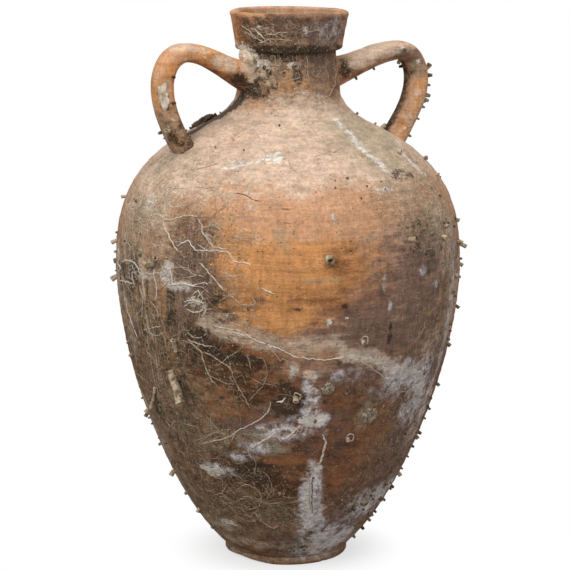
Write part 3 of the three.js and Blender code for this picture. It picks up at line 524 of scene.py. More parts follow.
# The dabs on the side that the camera doesn't see: turn (degrees from +X towards the back), height,
# half width and half height (mm), and strength
BACK_DABS = {
    "ember": [(60, 300, 90, 50, 0.7), (110, 200, 50, 40, 0.6), (20, 260, 40, 30, 0.7)],
    "blush": [(90, 360, 90, 30, 0.8)],
    "rust": [(30, 200, 60, 60, 0.7), (120, 240, 50, 30, 0.6)],
    "plum": [(350, 270, 50, 60, 0.8), (80, 130, 60, 40, 0.7)],
    "umber": [(140, 290, 40, 60, 0.6), (50, 110, 60, 30, 0.6)],
    "russet": [(70, 90, 30, 20, 0.7), (20, 140, 24, 20, 0.6)],
    "olive": [(110, 390, 60, 14, 0.7), (40, 340, 30, 30, 0.6)],
    "silt": [(90, 330, 90, 60, 0.6), (140, 340, 40, 40, 0.7)],
    "soot": [(144, 402, 20, 6, 0.9), (100, 180, 12, 10, 0.7), (20, 320, 10, 14, 0.6)],
    "lilac": [
        (70, 160, 22, 9, 0.7), (78, 148, 10, 14, 0.6), (64, 132, 7, 12, 0.6), (120, 92, 24, 8, 0.66),
        (112, 78, 9, 14, 0.6), (15, 200, 8, 30, 0.6), (8, 170, 12, 8, 0.6), (18, 120, 8, 14, 0.5),
    ],
    "lime": [(100, 250, 9, 5, 1.0), (60, 330, 5, 8, 0.9), (30, 150, 6, 10, 0.9)],
    "threads": [(80, 250, 120, 140, 0.8), (130, 150, 60, 80, 0.9)],
    "runs": [(170, 260, 50, 80, 0.8), (40, 220, 30, 60, 0.5)],
}


@functools.cache
def marks(name):
    """A film's dabs and strokes on the wall: turns in radians, lengths in metres."""
    wall = outline()
    dabs = []
    for turn, *sizes, strength in BACK_DABS[name]:
        dabs.append((math.radians(turn), *(size * MM for size in sizes), strength))
    for x, y, half_width, half_height, strength in DABS[name]:
        turn, height, across, up = seen(x, y, wall)
        dabs.append((turn, height, half_width * across * MM, half_height * up * MM, strength))
    strokes = []
    for places, half_width, strength in STROKES.get(name, []):
        line = [seen(x, y, wall)[:2] for x, y in places]
        strokes.append((line, half_width * MM, strength))
    return dabs, strokes


def part(values):
    """Values as parts of a whole, from 0 to 1."""
    return np.clip(values, 0, 1)


def fade(away, full=1.45, fall=0.75):
    """How strong a mark still is, this many of its own half widths away from its middle."""
    return part(full - fall * away)


def swell(share, middle, width):
    """A smooth rise round the middle, this wide."""
    return np.exp(-(((share - middle) / width) ** 2))


# How far the wide noise lifts or lowers a band's edge (mm), how far the fine noise pushes a stroke, and the
# half width from which a dab's shape is pushed by the wide noise instead of the fine one
BAND_SWAY = 18
STROKE_SWAY = 2 * MM
WIDE_DAB = 16 * MM


def film(name, points, wide, fine):
    """How strong a film is at each point of the clay, before its edge is broken up. The wide and the
    fine noise push its marks out of their round shapes."""
    turn = np.arctan2(points[:, 1], points[:, 0])
    radius = np.hypot(points[:, 0], points[:, 1])
    height = points[:, 2]
    amount = np.zeros(len(points))

    def lay(more):
        np.maximum(amount, more, out=amount)

    def gap(to):
        return ((turn - to + math.pi) % (2 * math.pi) - math.pi) * radius

    for low_end, low, high, high_end, strength in BANDS.get(name, []):
        level = height / MM + wide[1] * BAND_SWAY
        rise = part((level - low_end) / (low - low_end))
        lay(strength * np.minimum(rise, part((high_end - level) / (high_end - high))))
    dabs, strokes = marks(name)
    for to, at, across, up, strength in dabs:
        sway, pull = wide if min(across, up) > WIDE_DAB else fine
        away = np.hypot(gap(to) / across + sway * 0.5, (height - at) / up + pull * 0.5)
        lay(strength * fade(away))
    for places, half_width, strength in strokes:
        for (turn_a, a), (turn_b, b) in zip(places, places[1:]):
            x, y = gap(turn_a), height - a
            to_x, to_y = (turn_b - turn_a) * radius, b - a
            share = part((x * to_x + y * to_y) / (to_x**2 + to_y**2))
            off_x = x - share * to_x + fine[0] * STROKE_SWAY
            off_y = y - share * to_y + fine[1] * STROKE_SWAY
            lay(strength * fade(np.hypot(off_x, off_y) / half_width, 1.35, 0.6))
    return amount


def relief(points, form):
    """How far the real surface stands off the true outline: the potter's hand and the film."""
    turn = np.arctan2(points[:, 1], points[:, 0])
    height = points[:, 2]
    rings = np.sin(2 * math.pi * height / form.ring_pitch + turn) * (0.6 + 0.4 * grain(points, 60 * MM, 3))
    hand = grain(points, 95 * MM, 5) * 0.55 * MM
    lumps = part(rough_grain(points, 9 * MM, 3, 31) - 0.12)
    crust = 0.35 + 0.65 * part(rough_grain(points, 55 * MM, 2, 41) + 0.35)
    return rings * form.ring_depth + hand + lumps * crust * form.lump_depth * 2


def put(name, data):
    """A new object at the scene's origin."""
    thing = bpy.data.objects.new(name, data)
    bpy.context.scene.collection.objects.link(thing)
    return thing


def mesh_object(name, points, faces, edges=()):
    """A mesh piece at the origin, with its place in its points."""
    mesh = bpy.data.meshes.new(name)
    mesh.from_pydata(np.asarray(points).tolist(), edges, [list(face) for face in faces])
    mesh.shade_smooth()
    return put(name, mesh)


def vertex_places(mesh):
    points = np.empty(len(mesh.vertices) * 3)
    mesh.vertices.foreach_get("co", points)
    return points.reshape(-1, 3)


def lay_attribute(mesh, name, values):
    mesh.attributes.new(name, "FLOAT", "POINT").data.foreach_set("value", np.asarray(values, np.float32))


def paint(piece):
    """Lays the films on a piece, one attribute each."""
    points = vertex_places(piece.data)
    wide = [rough_grain(points, 38 * MM, 3, seed) for seed in (11, 23)]
    fine = [rough_grain(points, 9 * MM, 3, seed) for seed in (12, 24)]
    for name in DABS:
        lay_attribute(piece.data, name, film(name, points, wide, fine))


def dress(piece, slot, material, *nodes):
    """Gives a piece its material and lets it stand for its CAD nodes. The slot is not used."""
    piece.data.materials.append(material)
    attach(piece, "root")
    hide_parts(*nodes)


def ring_faces(rings, sides):
    """Quads between rings of points, with the outside on the left of the way along."""
    i = np.arange(rings - 1)[:, None] * sides
    j = np.arange(sides)[None, :]
    k = (j + 1) % sides
    return np.stack([i + j, i + k, i + sides + k, i + sides + j], axis=-1).reshape(-1, 4)


def turned(radii, heights, sides, weight, form, closed=False):
    """A turned piece from its outline, which ends on the axis or joins up with its start. The weight
    says how much of the relief a point gets."""
    angle = np.linspace(0, 2 * math.pi, sides, endpoint=False)
    dr, dz = (np.gradient(np.asarray(values, float)) for values in (radii, heights))
    size = np.hypot(dr, dz)
    size[size == 0] = 1

    def round_axis(r, z):
        r, z = (np.asarray(values, float)[:, None] for values in (r, z))
        return np.stack([r * np.cos(angle), r * np.sin(angle), z + 0 * angle], axis=-1).reshape(-1, 3)

    points, out = round_axis(radii, heights), round_axis(dz / size, -dr / size)
    points = points + out * (relief(points, form) * np.repeat(weight, sides))[:, None]
    if closed:
        return closed_body(points, sides)
    last = len(points) - sides
    join = [[last + j, last + (j + 1) % sides, (j + 1) % sides, j] for j in range(sides)]
    return points, ring_faces(len(radii), sides).tolist() + join


def closed_body(points, sides):
    """Rings of points as a closed body, with one point more on each end."""
    points = np.asarray(points)
    low, high = points[:sides].mean(axis=0), points[-sides:].mean(axis=0)
    count = len(points)
    start = count - sides
    fan = [[count, (j + 1) % sides, j] for j in range(sides)]
    fan += [[count + 1, start + j, start + (j + 1) % sides] for j in range(sides)]
    return np.vstack([points, low, high]), ring_faces(count // sides, sides).tolist() + fan


def keep_edges_sharp(piece, angle):
    """Marks edges between faces that meet at more than an angle."""
    piece.data.shade_smooth()
    piece.data.set_sharp_from_angle(angle=math.radians(angle))


def clay_piece(node, points, faces, clay, sharp=50):
    """A thrown piece with its films."""
    piece = mesh_object(node + "_thrown", points, faces)
    keep_edges_sharp(piece, sharp)
    paint(piece)
    dress(piece, "fired_clay", clay, node)


def grown_piece(node, points, faces, lime):
    """A piece that the sea added."""
    piece = mesh_object(node + "_grown", points, faces)
    dress(piece, "sea_lime", lime, node)
    return piece


# How far from the axis a closed outline starts and ends
AXIS_GAP = 0.5 * MM
# The foot's edge: how round it is, where it is worn most (degrees) and how far to either side
FOOT_ROUND = 2 * MM
WORN_AT, WORN_OVER = 195, 38


class AMPHORA_OT_wall(bpy.types.Operator):
    """Makes the foot, the two halves of the body and the neck as thrown clay"""

    bl_idname = "amphora.wall"
    bl_label = "Foot, Body and Neck"

    def execute(self, context):
        form, wall = settings("form"), outline()
        clay = fired_clay("fired_earthenware", settings("colours").clay)
        join, throat = wall.reach(WALL_JOIN), wall.reach(NECK_NODE[0].z)
        self.section("lower_body", wall, 0.0, join, 512, 176, clay, form, floor=True)
        self.section("upper_body", wall, join, throat, 512, 100, clay, form)
        self.section("neck", wall, throat, wall.length, 360, 46, clay, form)
        self.foot(clay, form)
        return {"FINISHED"}

    def section(self, node, wall, start, end, sides, rows, clay, form, floor=False):
        """One thrown section: its outside, its slanted edges and its inside."""
        outside = np.linspace(start, end, rows)
        top = min(end + form.edge_bevel, wall.length)
        if floor:
            inner_floor = FOOT[1].z + form.slip_gap + form.floor
            inner = np.linspace(0, top, 240)
            keep = inner[wall.at(inner, form.wall)[1] >= inner_floor]
            inside = np.linspace(keep[0], top, 16)[::-1]
        else:
            inside = np.linspace(start + form.edge_bevel, top, 14)[::-1]
        r_out, z_out = wall.at(outside)
        r_in, z_in = wall.at(inside, form.wall)
        radii, heights = np.concatenate([r_out, r_in]), np.concatenate([z_out, z_in])
        weight = np.concatenate([np.ones(rows), np.zeros(len(inside))])
        if floor:
            radii = np.concatenate([[AXIS_GAP], radii, [AXIS_GAP]])
            heights = np.concatenate([[z_out[0]], heights, [z_in[-1]]])
            weight = np.concatenate([[0], weight, [0]])
        clay_piece(node, *turned(radii, heights, sides, weight, form, floor), clay)

    def foot(self, clay, form):
        """The foot: a low disc whose edge is worn, most on the left."""
        radius, height = FOOT[1].x, FOOT[1].z
        ledge, soft = form.foot_ledge, FOOT_ROUND
        edge = [(math.sin(a), 1 - math.cos(a)) for a in np.linspace(0, math.pi / 2, 6)]
        radii = [AXIS_GAP, radius * 0.5] + [radius - soft + soft * s for s, _ in edge]
        heights = [0, 0] + [soft * c for _, c in edge]
        radii += [radius, radius - 0.4 * ledge, radius - ledge, AXIS_GAP]
        heights += [height - ledge, height - 0.4 * ledge, height, height]
        points, faces = turned(radii, heights, 360, [0] * len(radii), form, closed=True)
        turn = np.degrees(np.arctan2(points[:, 1], points[:, 0])) % 360
        worn = part(1 - np.abs(turn - WORN_AT) / WORN_OVER) ** 0.7
        chips = part(rough_grain(points, 14 * MM, 3, 71) * 2 - 0.3)
        rim = part((np.hypot(points[:, 0], points[:, 1]) - radius * 0.86) / (radius * 0.14))
        loss = rim * (worn * 3.2 + chips * 1.2) * MM
        points[:, 2] = np.where(points[:, 2] < height - ledge, np.maximum(points[:, 2], loss), points[:, 2])
        points[:, :2] *= (1 - rim * (worn * 0.02 + chips * 0.006))[:, None]
        clay_piece("foot", points, faces, clay, 60)


# How far the lip's bead stands out past the collar, and how wide the lip is up to the mouth
LIP_BEAD, LIP_WIDTH = 1 * MM, 7.5 * MM


class AMPHORA_OT_collar(bpy.types.Operator):
    """Makes the rim collar with its undercut, its lip and the mouth inside"""

    bl_idname = "amphora.collar"
    bl_label = "Rim Collar"

    def execute(self, context):
        form = settings("form")
        low, top = RIM[0].z, RIM[1].z
        neck, lip = form.neck_radius, RIM[1].x
        bore = neck - form.wall
        upper, mouth = lip - LIP_BEAD, lip - LIP_WIDTH
        lower = upper - 4 * MM

        def arc(centre_r, centre_z, r, start, end, steps=7):
            angles = np.radians(np.linspace(start, end, steps))
            return [(centre_r + r * math.cos(a), centre_z + r * math.sin(a)) for a in angles]

        def flat(start_r, end_r, start_z, end_z, steps):
            return list(zip(np.linspace(start_r, end_r, steps), np.linspace(start_z, end_z, steps)))

        profile = [(neck, low), (neck + 1.5 * MM, low)]
        profile += arc(lower - 2.6 * MM, low + 2.6 * MM, 2.6 * MM, -80, -5)
        profile += flat(lower, upper, low + 4 * MM, top - 6 * MM, 16)
        profile += arc(lip - 2 * MM, top - 2.6 * MM, 2 * MM, -35, 60)
        profile += arc((lip + mouth) / 2, top - 3.6 * MM, 3.6 * MM, 75, 105, 4)
        profile += arc(mouth + 2 * MM, top - 2.6 * MM, 2 * MM, 125, 180, 5)
        profile += [(mouth, top - 6 * MM), (mouth - 0.6 * MM, top - 9 * MM)]
        profile += flat(mouth - 3 * MM, bore, top - 14 * MM, low, 8)
        weight = [0, 0] + [0.8] * (len(profile) - 2)
        points, faces = turned(*zip(*profile), 384, weight, form)
        chip = part(rough_grain(points, 11 * MM, 3, 83) * 2.4 - 0.9) * 1.1 * MM
        points[:, 2] -= chip * part((points[:, 2] - (top - 5 * MM)) / (5 * MM))
        clay = fired_clay("fired_earthenware_collar", settings("colours").clay)
        clay_piece("rim_collar", points, faces, clay, 75)
        return {"FINISHED"}


# The two handles: side, axis to the shoulder end, neck to the arch's highest point, rise up to that
# point, overhang past the shoulder end and drop to the outermost point (mm)
HANDLES = {
    "left_handle": (-1, 104, 58.5, 23.5, 18.5, 28.5),
    "right_handle": (1, 107, 68.5, 19, 22.5, 27),
}
NECK_LEAN = 5  # degrees above level, where a handle leaves the neck
FOOT_LEAN = 52  # degrees below level, where it meets the shoulder
ARCH_PULL = 0.61  # how long the arch stays level, as a share of the way to the bend
BEND_PULL = 0.49  # how long the bend stays upright, as a share of its height
SQUARENESS = 2.5  # exponent of a strap's rounded section


class Strap:
    """A handle's middle line and its rounded surface, by distance and angle round it."""

    def __init__(self, side, seat_radius, arch_span, arch_rise, overhang, bend):
        form, strap = settings("form"), settings("strap")
        wall = outline()
        self.side, self.strap = side, strap
        past = wall.reach(form.belly_height) + np.linspace(0, 0.2, 2000)
        seat = past[np.argmax(wall.at(past)[0] <= seat_radius * MM)]
        seat_r, seat_z = (float(v) for v in wall.at(seat))
        start = (form.neck_radius - strap.root, RIM[0].z - strap.drop)
        arch = (form.neck_radius + arch_span * MM, start[1] + arch_rise * MM)
        outermost = (seat_r + overhang * MM, arch[1] - bend * MM)
        lean, foot_lean = math.radians(NECK_LEAN), math.radians(FOOT_LEAN)
        end = (seat_r - strap.root * math.cos(foot_lean), seat_z - strap.root * math.sin(foot_lean))
        arm = (arch[0] - start[0]) / 3
        foot = (outermost[1] - end[1]) / 3
        curves = [
            bezier(
                start,
                (start[0] + arm * math.cos(lean), start[1] + arm * math.sin(lean)),
                (arch[0] - arm, arch[1]),
                arch,
            ),
            bezier(
                arch,
                (arch[0] + (outermost[0] - arch[0]) * ARCH_PULL, arch[1]),
                (outermost[0], outermost[1] + bend * MM * BEND_PULL),
                outermost,
            ),
            bezier(
                outermost,
                (outermost[0], outermost[1] - foot),
                (end[0] + foot * math.cos(foot_lean), end[1] + foot * math.sin(foot_lean)),
                end,
            ),
        ]
        self.line, self.distance, self.slope = chain(curves)
        self.length = self.distance[-1]

    def at(self, distance, angle):
        """Points on the strap and the directions out of it. Angle 0 is the face away from the vessel."""
        strap = self.strap
        x, z = (np.interp(distance, self.distance, self.line[:, i]) for i in (0, 1))
        dx, dz = (np.interp(distance, self.distance, self.slope[:, i]) for i in (0, 1))
        size = np.hypot(dx, dz)
        up_x, up_z = -dz / size, dx / size
        past_neck = np.maximum(distance - strap.root, 0)
        past_foot = np.maximum(self.length - distance - strap.root, 0)
        flare = strap.neck_flare * np.exp(-past_neck / strap.neck_flare_length)
        flare = flare + strap.foot_flare * np.exp(-past_foot / strap.foot_flare_length)
        across, aside = (np.sign(v) * np.abs(v) ** (2 / SQUARENESS) for v in (np.cos(angle), np.sin(angle)))
        out = across * strap.thickness / 2 * (1 + flare)
        edge = aside * strap.width / 2 * (1 + flare * strap.flare_aside)
        points = np.stack([self.side * (x + up_x * out), -self.side * edge, z + up_z * out], axis=-1)
        cos, sin = np.cos(angle), np.sin(angle)
        return points, np.stack([self.side * up_x * cos, -self.side * sin, up_z * cos], axis=-1)


# Single marks on the handles, by film: their place in the camera's picture (x, y), how far they spread
# over the clay (mm) and how strong they are. Some are painted light: the blush and silt on top of the arches
# are a painted highlight, and dark marks at the neck ends, at the left foot and on the right leg's inner face
# are painted shade.
HANDLE_MARKS = {
    "left_handle": {
        # Painted highlight on the top of the arch
        "blush": [(176, 50, 9, 1.1), (190, 47, 9, 0.9), (162, 62, 7, 0.7)],
        # (178, 46), (190, 46) and (206, 50) are partly a painted highlight on the arch's top
        "silt": [
            (178, 46, 7, 0.8), (190, 46, 6, 0.6), (166, 82, 3, 0.9), (166, 92, 4, 0.9), (168, 99, 3, 0.8),
            (250, 66, 7, 1.0), (256, 76, 6, 0.9), (218, 62, 6, 0.8), (230, 64, 6, 0.8), (206, 50, 5, 0.5),
        ],
        "lime": [
            (171, 106, 1.6, 0.6), (166, 112, 1.4, 0.9), (173, 120, 1.3, 0.9), (168, 127, 1.2, 0.8),
            (240, 58, 4, 0.6), (205, 58, 1.4, 0.6), (186, 60, 1.2, 0.6), (158, 74, 1.3, 0.6),
        ],
        "olive": [(254, 72, 6, 0.7), (180, 134, 4, 0.6), (156, 88, 4, 0.4)],
        # (252, 86) and (244, 80) are painted shade under the neck end
        "umber": [
            (168, 108, 5, 0.5), (164, 124, 6, 0.7), (172, 138, 8, 0.9), (176, 78, 4, 0.5),
            (252, 86, 6, 0.9), (244, 80, 5, 0.6),
        ],
        "rust": [(176, 142, 6, 0.9), (160, 96, 4, 0.5), (232, 78, 5, 0.7)],
        # (240, 82) is painted shade under the neck end; (166, 144) and (184, 143) are dark grime with the
        # painted contact shadow at the foot
        "soot": [
            (240, 82, 6, 0.9), (166, 144, 3, 0.8), (184, 143, 3, 0.8), (158, 100, 1.5, 0.5),
            (198, 53, 1.2, 0.5), (215, 56, 1.4, 0.6),
        ],
    },
    "right_handle": {
        "olive": [(348, 58, 4, 0.9), (415, 66, 5, 1.0), (419, 72, 5, 0.9)],
        # (345, 62) and (346, 68) paint the shadow at the neck end; (413, 70), (404, 82) and (390, 122) paint
        # shade on the leg's inner face
        "umber": [
            (345, 62, 4, 0.9), (352, 77, 4, 0.6), (413, 70, 4, 0.7), (404, 82, 3, 0.8), (346, 68, 6, 0.9),
            (390, 122, 3, 0.8),
        ],
        # (380, 48) and (392, 44) here, and the blush below, are partly a painted highlight on the arch's top
        "silt": [(380, 48, 7, 0.9), (392, 44, 6, 0.8), (410, 118, 5, 0.7), (417, 92, 4, 0.6)],
        "blush": [(372, 52, 6, 0.7), (365, 50, 7, 1.0)],
        "plum": [(402, 54, 7, 1.0), (410, 60, 6, 0.9), (390, 64, 4, 0.6)],
        "rust": [(360, 73, 6, 0.7), (372, 68, 5, 0.6)],
        "lime": [
            (403, 48, 1.4, 1.1), (358, 62, 1, 0.8), (376, 60, 1.2, 0.7), (418, 62, 2.2, 0.7),
            (414, 112, 1.2, 0.6), (404, 128, 1.4, 0.7),
        ],
        # (406, 70), (395, 106) and (388, 124) are painted shade on the leg's inner face
        "soot": [(406, 70, 3, 0.6), (395, 106, 2, 0.6), (388, 124, 3, 0.8)],
        "ember": [(418, 84, 4, 0.7), (404, 124, 5, 0.8)],
    },
}


# Points round a strap, and rows of them from end to end
STRAP_SIDES, STRAP_ROWS = 96, 260


def strap_surface(strap):
    """Points round a strap from end to end, the directions out of it, and their distances and angles."""
    distance = np.repeat(np.linspace(0, strap.length, STRAP_ROWS), STRAP_SIDES)
    angle = np.tile(np.linspace(0, 2 * math.pi, STRAP_SIDES, endpoint=False), STRAP_ROWS)
    return *strap.at(distance, angle), distance, angle


class AMPHORA_OT_handles(bpy.types.Operator):
    """Makes the two pulled strap handles, smeared on to neck and shoulder"""

    bl_idname = "amphora.handles"
    bl_label = "Strap Handles"

    def execute(self, context):
        clay = fired_clay("pulled_earthenware", settings("colours").strap)
        for node, shape in HANDLES.items():
            strap = Strap(*shape)
            points, out, distance, angle = strap_surface(strap)
            hand = grain(points, 26 * MM, 51) * 0.7 + rough_grain(points, 8 * MM, 3, 53) * 0.3
            points = points + out * (hand * MM)[:, None]
            share = np.concatenate([distance / strap.length, [0, 1]])
            outer = np.concatenate([np.cos(angle), [0, 0]])
            front = np.concatenate([np.sin(angle) * strap.side, [0, 0]])
            out = np.vstack([out, [[0, 0, 1]] * 2])
            points, faces = closed_body(points, STRAP_SIDES)
            piece = mesh_object(node + "_pulled", points, faces)
            self.stain(piece.data, points, out, node, share, outer, front)
            dress(piece, "handle_clay", clay, node)
        return {"FINISHED"}

    def stain(self, mesh, points, out, node, share, outer, front):
        """The films on a handle: those of its faces and ends, and then its single marks. Some are painted
        light: a painted highlight on the upper faces, and painted shade on the inner faces and where the ends
        meet the wall.
        """
        top, inner, facing = part(outer), part(-outer), part(front)
        edge = part((facing - 0.75) / 0.15) * part((0.75 - outer) / 0.3)
        far = part(0.7 - front * 1.6)
        ends = swell(share, 0, 0.07) + swell(share, 1, 0.05)
        amounts = {name: 0.0 * share for name in DABS}
        if node == "left_handle":
            low = part((share - 0.68) / 0.14)
            amounts["ember"] = 0.95 * (1 - low) * part(share / 0.16)
            # Painted highlight: the blush on the arch's upper face, and part of the silt there.
            amounts["blush"] = 0.8 * top * swell(share, 0.45, 0.16)
            amounts["silt"] = 0.3 * top + 0.7 * ends
            # Painted shade: the umber and soot on the inner face. The soot at the ends is dark grime with
            # painted contact shade where the strap meets the wall.
            amounts["umber"] = 0.4 * inner + 0.5 * low + 0.5 * ends
            amounts["soot"] = 0.7 * ends + 0.2 * inner
            amounts["threads"] = 0.7 * low
        else:
            leg = part((share - 0.5) / 0.12)
            bend = swell(share, 0.5, 0.12)
            # pale is highest on the upper, outer and front faces; the silt laid by it is silt and, on those
            # faces, a painted highlight.
            pale = part(outer * 1.5 + facing * 0.5 + 0.25) * np.clip((share - 0.06) / 0.1, 0.3, 1)
            amounts["silt"] = 0.95 * pale * (1 - 0.6 * bend) * (1 - 0.5 * leg)
            amounts["ember"] = 0.85 * leg * part(outer + 1.0)
            amounts["blush"] = 0.6 * (1 - leg)
            amounts["rust"] = 0.6 * edge * (1 - leg)
            amounts["plum"] = 0.8 * bend * edge * (1 - leg)
            # Painted shade: the umber, olive and soot on the inner face, which turns away from the light. The
            # soot at the ends is grime with painted contact shade.
            amounts["umber"] = part(-outer * 2.2 - 0.1) * far
            amounts["olive"] = 0.45 * inner * far + 0.5 * top * swell(share, 0.1, 0.05)
            amounts["soot"] = 0.5 * ends + 0.5 * inner * far * part(share / 0.3)
        x, y = picture(points)
        faces_camera = ((np.array(view()[0]) - points) * out).sum(axis=1) > 0
        wobble = rough_grain(points, 6 * MM, 3, 61)
        for name, spots in HANDLE_MARKS[node].items():
            for to_x, to_y, size, strength in spots:
                off = np.hypot(x - to_x, y - to_y) + np.where(faces_camera, 0, VIEW_POINTS)
                away = np.linalg.norm(points - points[np.argmin(off)], axis=1) / (size * MM) + wobble * 0.6
                amounts[name] = np.maximum(amounts[name], strength * fade(away))
        broad = rough_grain(points, 14 * MM, 3, 62)
        for name, amount in amounts.items():
            lay_attribute(mesh, name, np.clip(amount + 0.16 * broad * (amount > 0.05), 0, 1.2))


# Sea growth. A place is a section, a turn and a share of the section's height, or a handle, a share of
# its length and an angle round it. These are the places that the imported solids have.
STANDING_TUBES = {
    "upper": [
        (258, 0.18, 3.75, 6, 180), (322, 0.13, 2.6, 5, 180), (331, 0.075, 2, 6.5, 180),
        (325, 0.28, 1.8, 4, 180), (325, 0.6, 1.5, 3.5, 180), (332, 0.7, 2, 3.5, 180),
        (310, 0.29, 1.9, 3.5, 180), (307, 0.22, 2.2, 4, 180), (288, 0.245, 2.4, 5, 90),
        (347, 0.9, 2, 4, 180), (308, 0.79, 1.8, 3.5, 180), (155, 0.4, 1.6, 4, 180), (159, 0.085, 2, 5, 180),
        (156, 0.87, 2.4, 4, 180),
    ],
    "lower": [
        (160, 0.92, 2.6, 5.5, 180), (318, 0.955, 2.2, 4, 180), (330, 0.97, 1.8, 3, 180),
        (327, 0.835, 1.6, 3.5, 180), (321, 0.72, 1.9, 4, 180), (270, 0.81, 2, 3.5, 180),
        (248, 0.63, 2.6, 4, 180), (269, 0.475, 2, 3.5, 180), (172, 0.68, 2.2, 3, 180),
        (173, 0.495, 1.7, 4.5, 180), (168, 0.265, 2.4, 5, 180), (181, 0.15, 2, 3.5, 180),
        (322, 0.58, 1.6, 3, 180), (316, 0.41, 2, 4, 180), (319, 0.27, 2, 3.5, 180), (308, 0.14, 2, 3, 180),
        (301, 0.435, 1.9, 3.5, 180),
    ],
    "neck": [(222, 0.78, 2.2, 5, 180)],
    "right_handle": [(10, 0.6, 2.4, 6, 180), (0, 0.75, 1.8, 5.5, 180), (180, 0.47, 1.8, 5, 180)],
    "left_handle": [(45, 0.84, 1.8, 5, 180)],
}
CREEPING_TUBES = [
    ("lower", 201, 0.683, 4.2, 31, 155, -12), ("lower", 189, 0.6, 1.8, 33, 202, 12),
    ("lower", 205.4, 0.751, 2.3, 13, 3, 10), ("upper", 192, 0.04, 2.4, 30, 100, -60),
    ("neck", 232, 0.5, 2.2, 9.5, -74, 20),
]
BARNACLES = [
    ("lower", 277, 0.545, 8, 2.5), ("neck", 253, 0.8, 3.5, 3), ("lower", 290, 0.21, 4.5, 3.5),
]
LIMPETS = [("lower", 259, 0.655, 6, 4)]
LIME_CRUSTS = [
    ("neck", 190, 0.9, 12, 9, 7), ("upper", 144, 0.93, 16, 9, 4), ("left_handle", 60, 0.66, 5, 10, 1.4),
]


def ground(section, turn, up):
    """The clay round a place: a function from a way across and along to a point and three directions."""
    form = settings("form")
    if section.endswith("handle"):
        strap = Strap(*HANDLES[section])
        start, turned_by = strap.length * up, math.radians(turn) * strap.side
        girth = (strap.strap.thickness + strap.strap.width) / 4

        def at(across, along):
            def near(a, b):
                return strap.at(np.array(start + along + b), np.array(turned_by + (across + a) / girth))[0]

            ahead = Vector(near(0, MM) - near(0, -MM)).normalized()
            aside = Vector(near(MM, 0) - near(-MM, 0))
            out = aside.cross(ahead).normalized()
            return Vector(near(0, 0)), ahead, ahead.cross(out), out

        return at
    wall = outline()
    ends = {
        "lower": (0.0, wall.reach(WALL_JOIN - form.slip_gap)),
        "upper": (wall.reach(WALL_JOIN), wall.reach(NECK_NODE[0].z)),
        "neck": (wall.reach(NECK_NODE[0].z), wall.length - form.slip_gap),
    }[section]
    low, high = wall.at(np.array(ends))[1]
    start = float(wall.reach(low + (high - low) * up))

    def at(across, along):
        distance = start + along
        r = float(wall.at(distance)[0])
        angle = math.radians(turn) + across / r
        points, out = wall.place(np.array([angle]), np.array([distance]))
        raised = points[0] + out[0] * relief(points, form)[0]
        out = Vector(out[0]).normalized()
        aside = Vector((-math.sin(angle), math.cos(angle), 0))
        return Vector(raised), out.cross(aside), aside, out

    return at


def tube_line(at, heading, curl, rise, lift, length, start, steps=24):
    """A worm tube's middle line over the clay, which sets out at a heading and curls as it grows."""
    across = along = 0.0
    height = start
    line = []
    for i in range(steps + 1):
        point, _, _, out = at(across, along)
        line.append(point + out * height)
        share = i / steps
        way = math.radians(heading + curl * share)
        climb = math.radians(rise + (lift - rise) * share)
        step = length / steps
        across += step * math.cos(climb) * math.sin(way)
        along += step * math.cos(climb) * math.cos(way)
        height += step * math.sin(climb)
    return line


# A worm tube's mouth and bore, ring by ring: how far ahead of the line's end, and how wide, in radii
TUBE_MOUTH = ((0.12, 0.98), (0.16, 0.82), (0.05, 0.6), (-1.0, 0.5), (-2.2, 0.42))


def tube_mesh(line, radius, seed, sides=20):
    """A worm tube round a line: growth rings, a thick flared mouth and a blind bore."""
    rng = random.Random(seed)
    count = len(line)
    normal = None
    points = []

    def ring(centre, direction, size):
        nonlocal normal
        if normal is None:
            normal = direction.orthogonal().normalized()
        normal = (normal - direction * normal.dot(direction)).normalized()
        second = direction.cross(normal)
        for j in range(sides):
            angle = 2 * math.pi * j / sides
            points.append(centre + (normal * math.cos(angle) + second * math.sin(angle)) * size)

    phase = rng.uniform(0, 6)
    for i, centre in enumerate(line):
        share = i / (count - 1)
        direction = (line[min(i + 1, count - 1)] - line[max(i - 1, 0)]).normalized()
        growth = 1 + 0.07 * math.sin(phase + i * 1.9) + rng.uniform(-0.03, 0.03)
        ring(centre, direction, radius * (0.8 + 0.2 * share) * growth)
    mouth = line[-1]
    direction = (line[-1] - line[-3]).normalized()
    for ahead, wide in TUBE_MOUTH:
        ring(mouth + direction * radius * ahead, direction, radius * wide)
    return closed_body([p[:] for p in points], sides)


# How steeply the tubes climb off the clay at their start and at their mouth, in degrees
STANDING_RISE = (80, 55)
CREEPING_RISE = (0, 35)


class AMPHORA_OT_worm_tubes(bpy.types.Operator):
    """Makes the larger worm tubes that stand off the clay or creep over it"""

    bl_idname = "amphora.worm_tubes"
    bl_label = "Worm Tubes"

    def execute(self, context):
        root = settings("growth").tube_root
        tubes = [(section, *tube) for section, tubes in STANDING_TUBES.items() for tube in tubes]
        for i, (section, turn, up, radius, length, heading) in enumerate(tubes, 1):
            at = ground(section, turn, up)
            line = tube_line(at, heading, 0, *STANDING_RISE, length * MM + root, -root)
            self.tube(f"worm_tube_{i:02d}", line, radius * MM, i)
        for i, (section, turn, up, radius, length, heading, curl) in enumerate(CREEPING_TUBES, 1):
            at = ground(section, turn, up)
            line = tube_line(at, heading, curl, *CREEPING_RISE, length * MM, radius * 0.45 * MM, 40)
            self.tube(f"creeping_tube_{i:02d}", line, radius * MM, 100 + i)
        return {"FINISHED"}

    def tube(self, node, line, radius, seed):
        piece = grown_piece(node, *tube_mesh(line, radius, seed), lime("worm_tube_lime"))
        keep_edges_sharp(piece, 60)


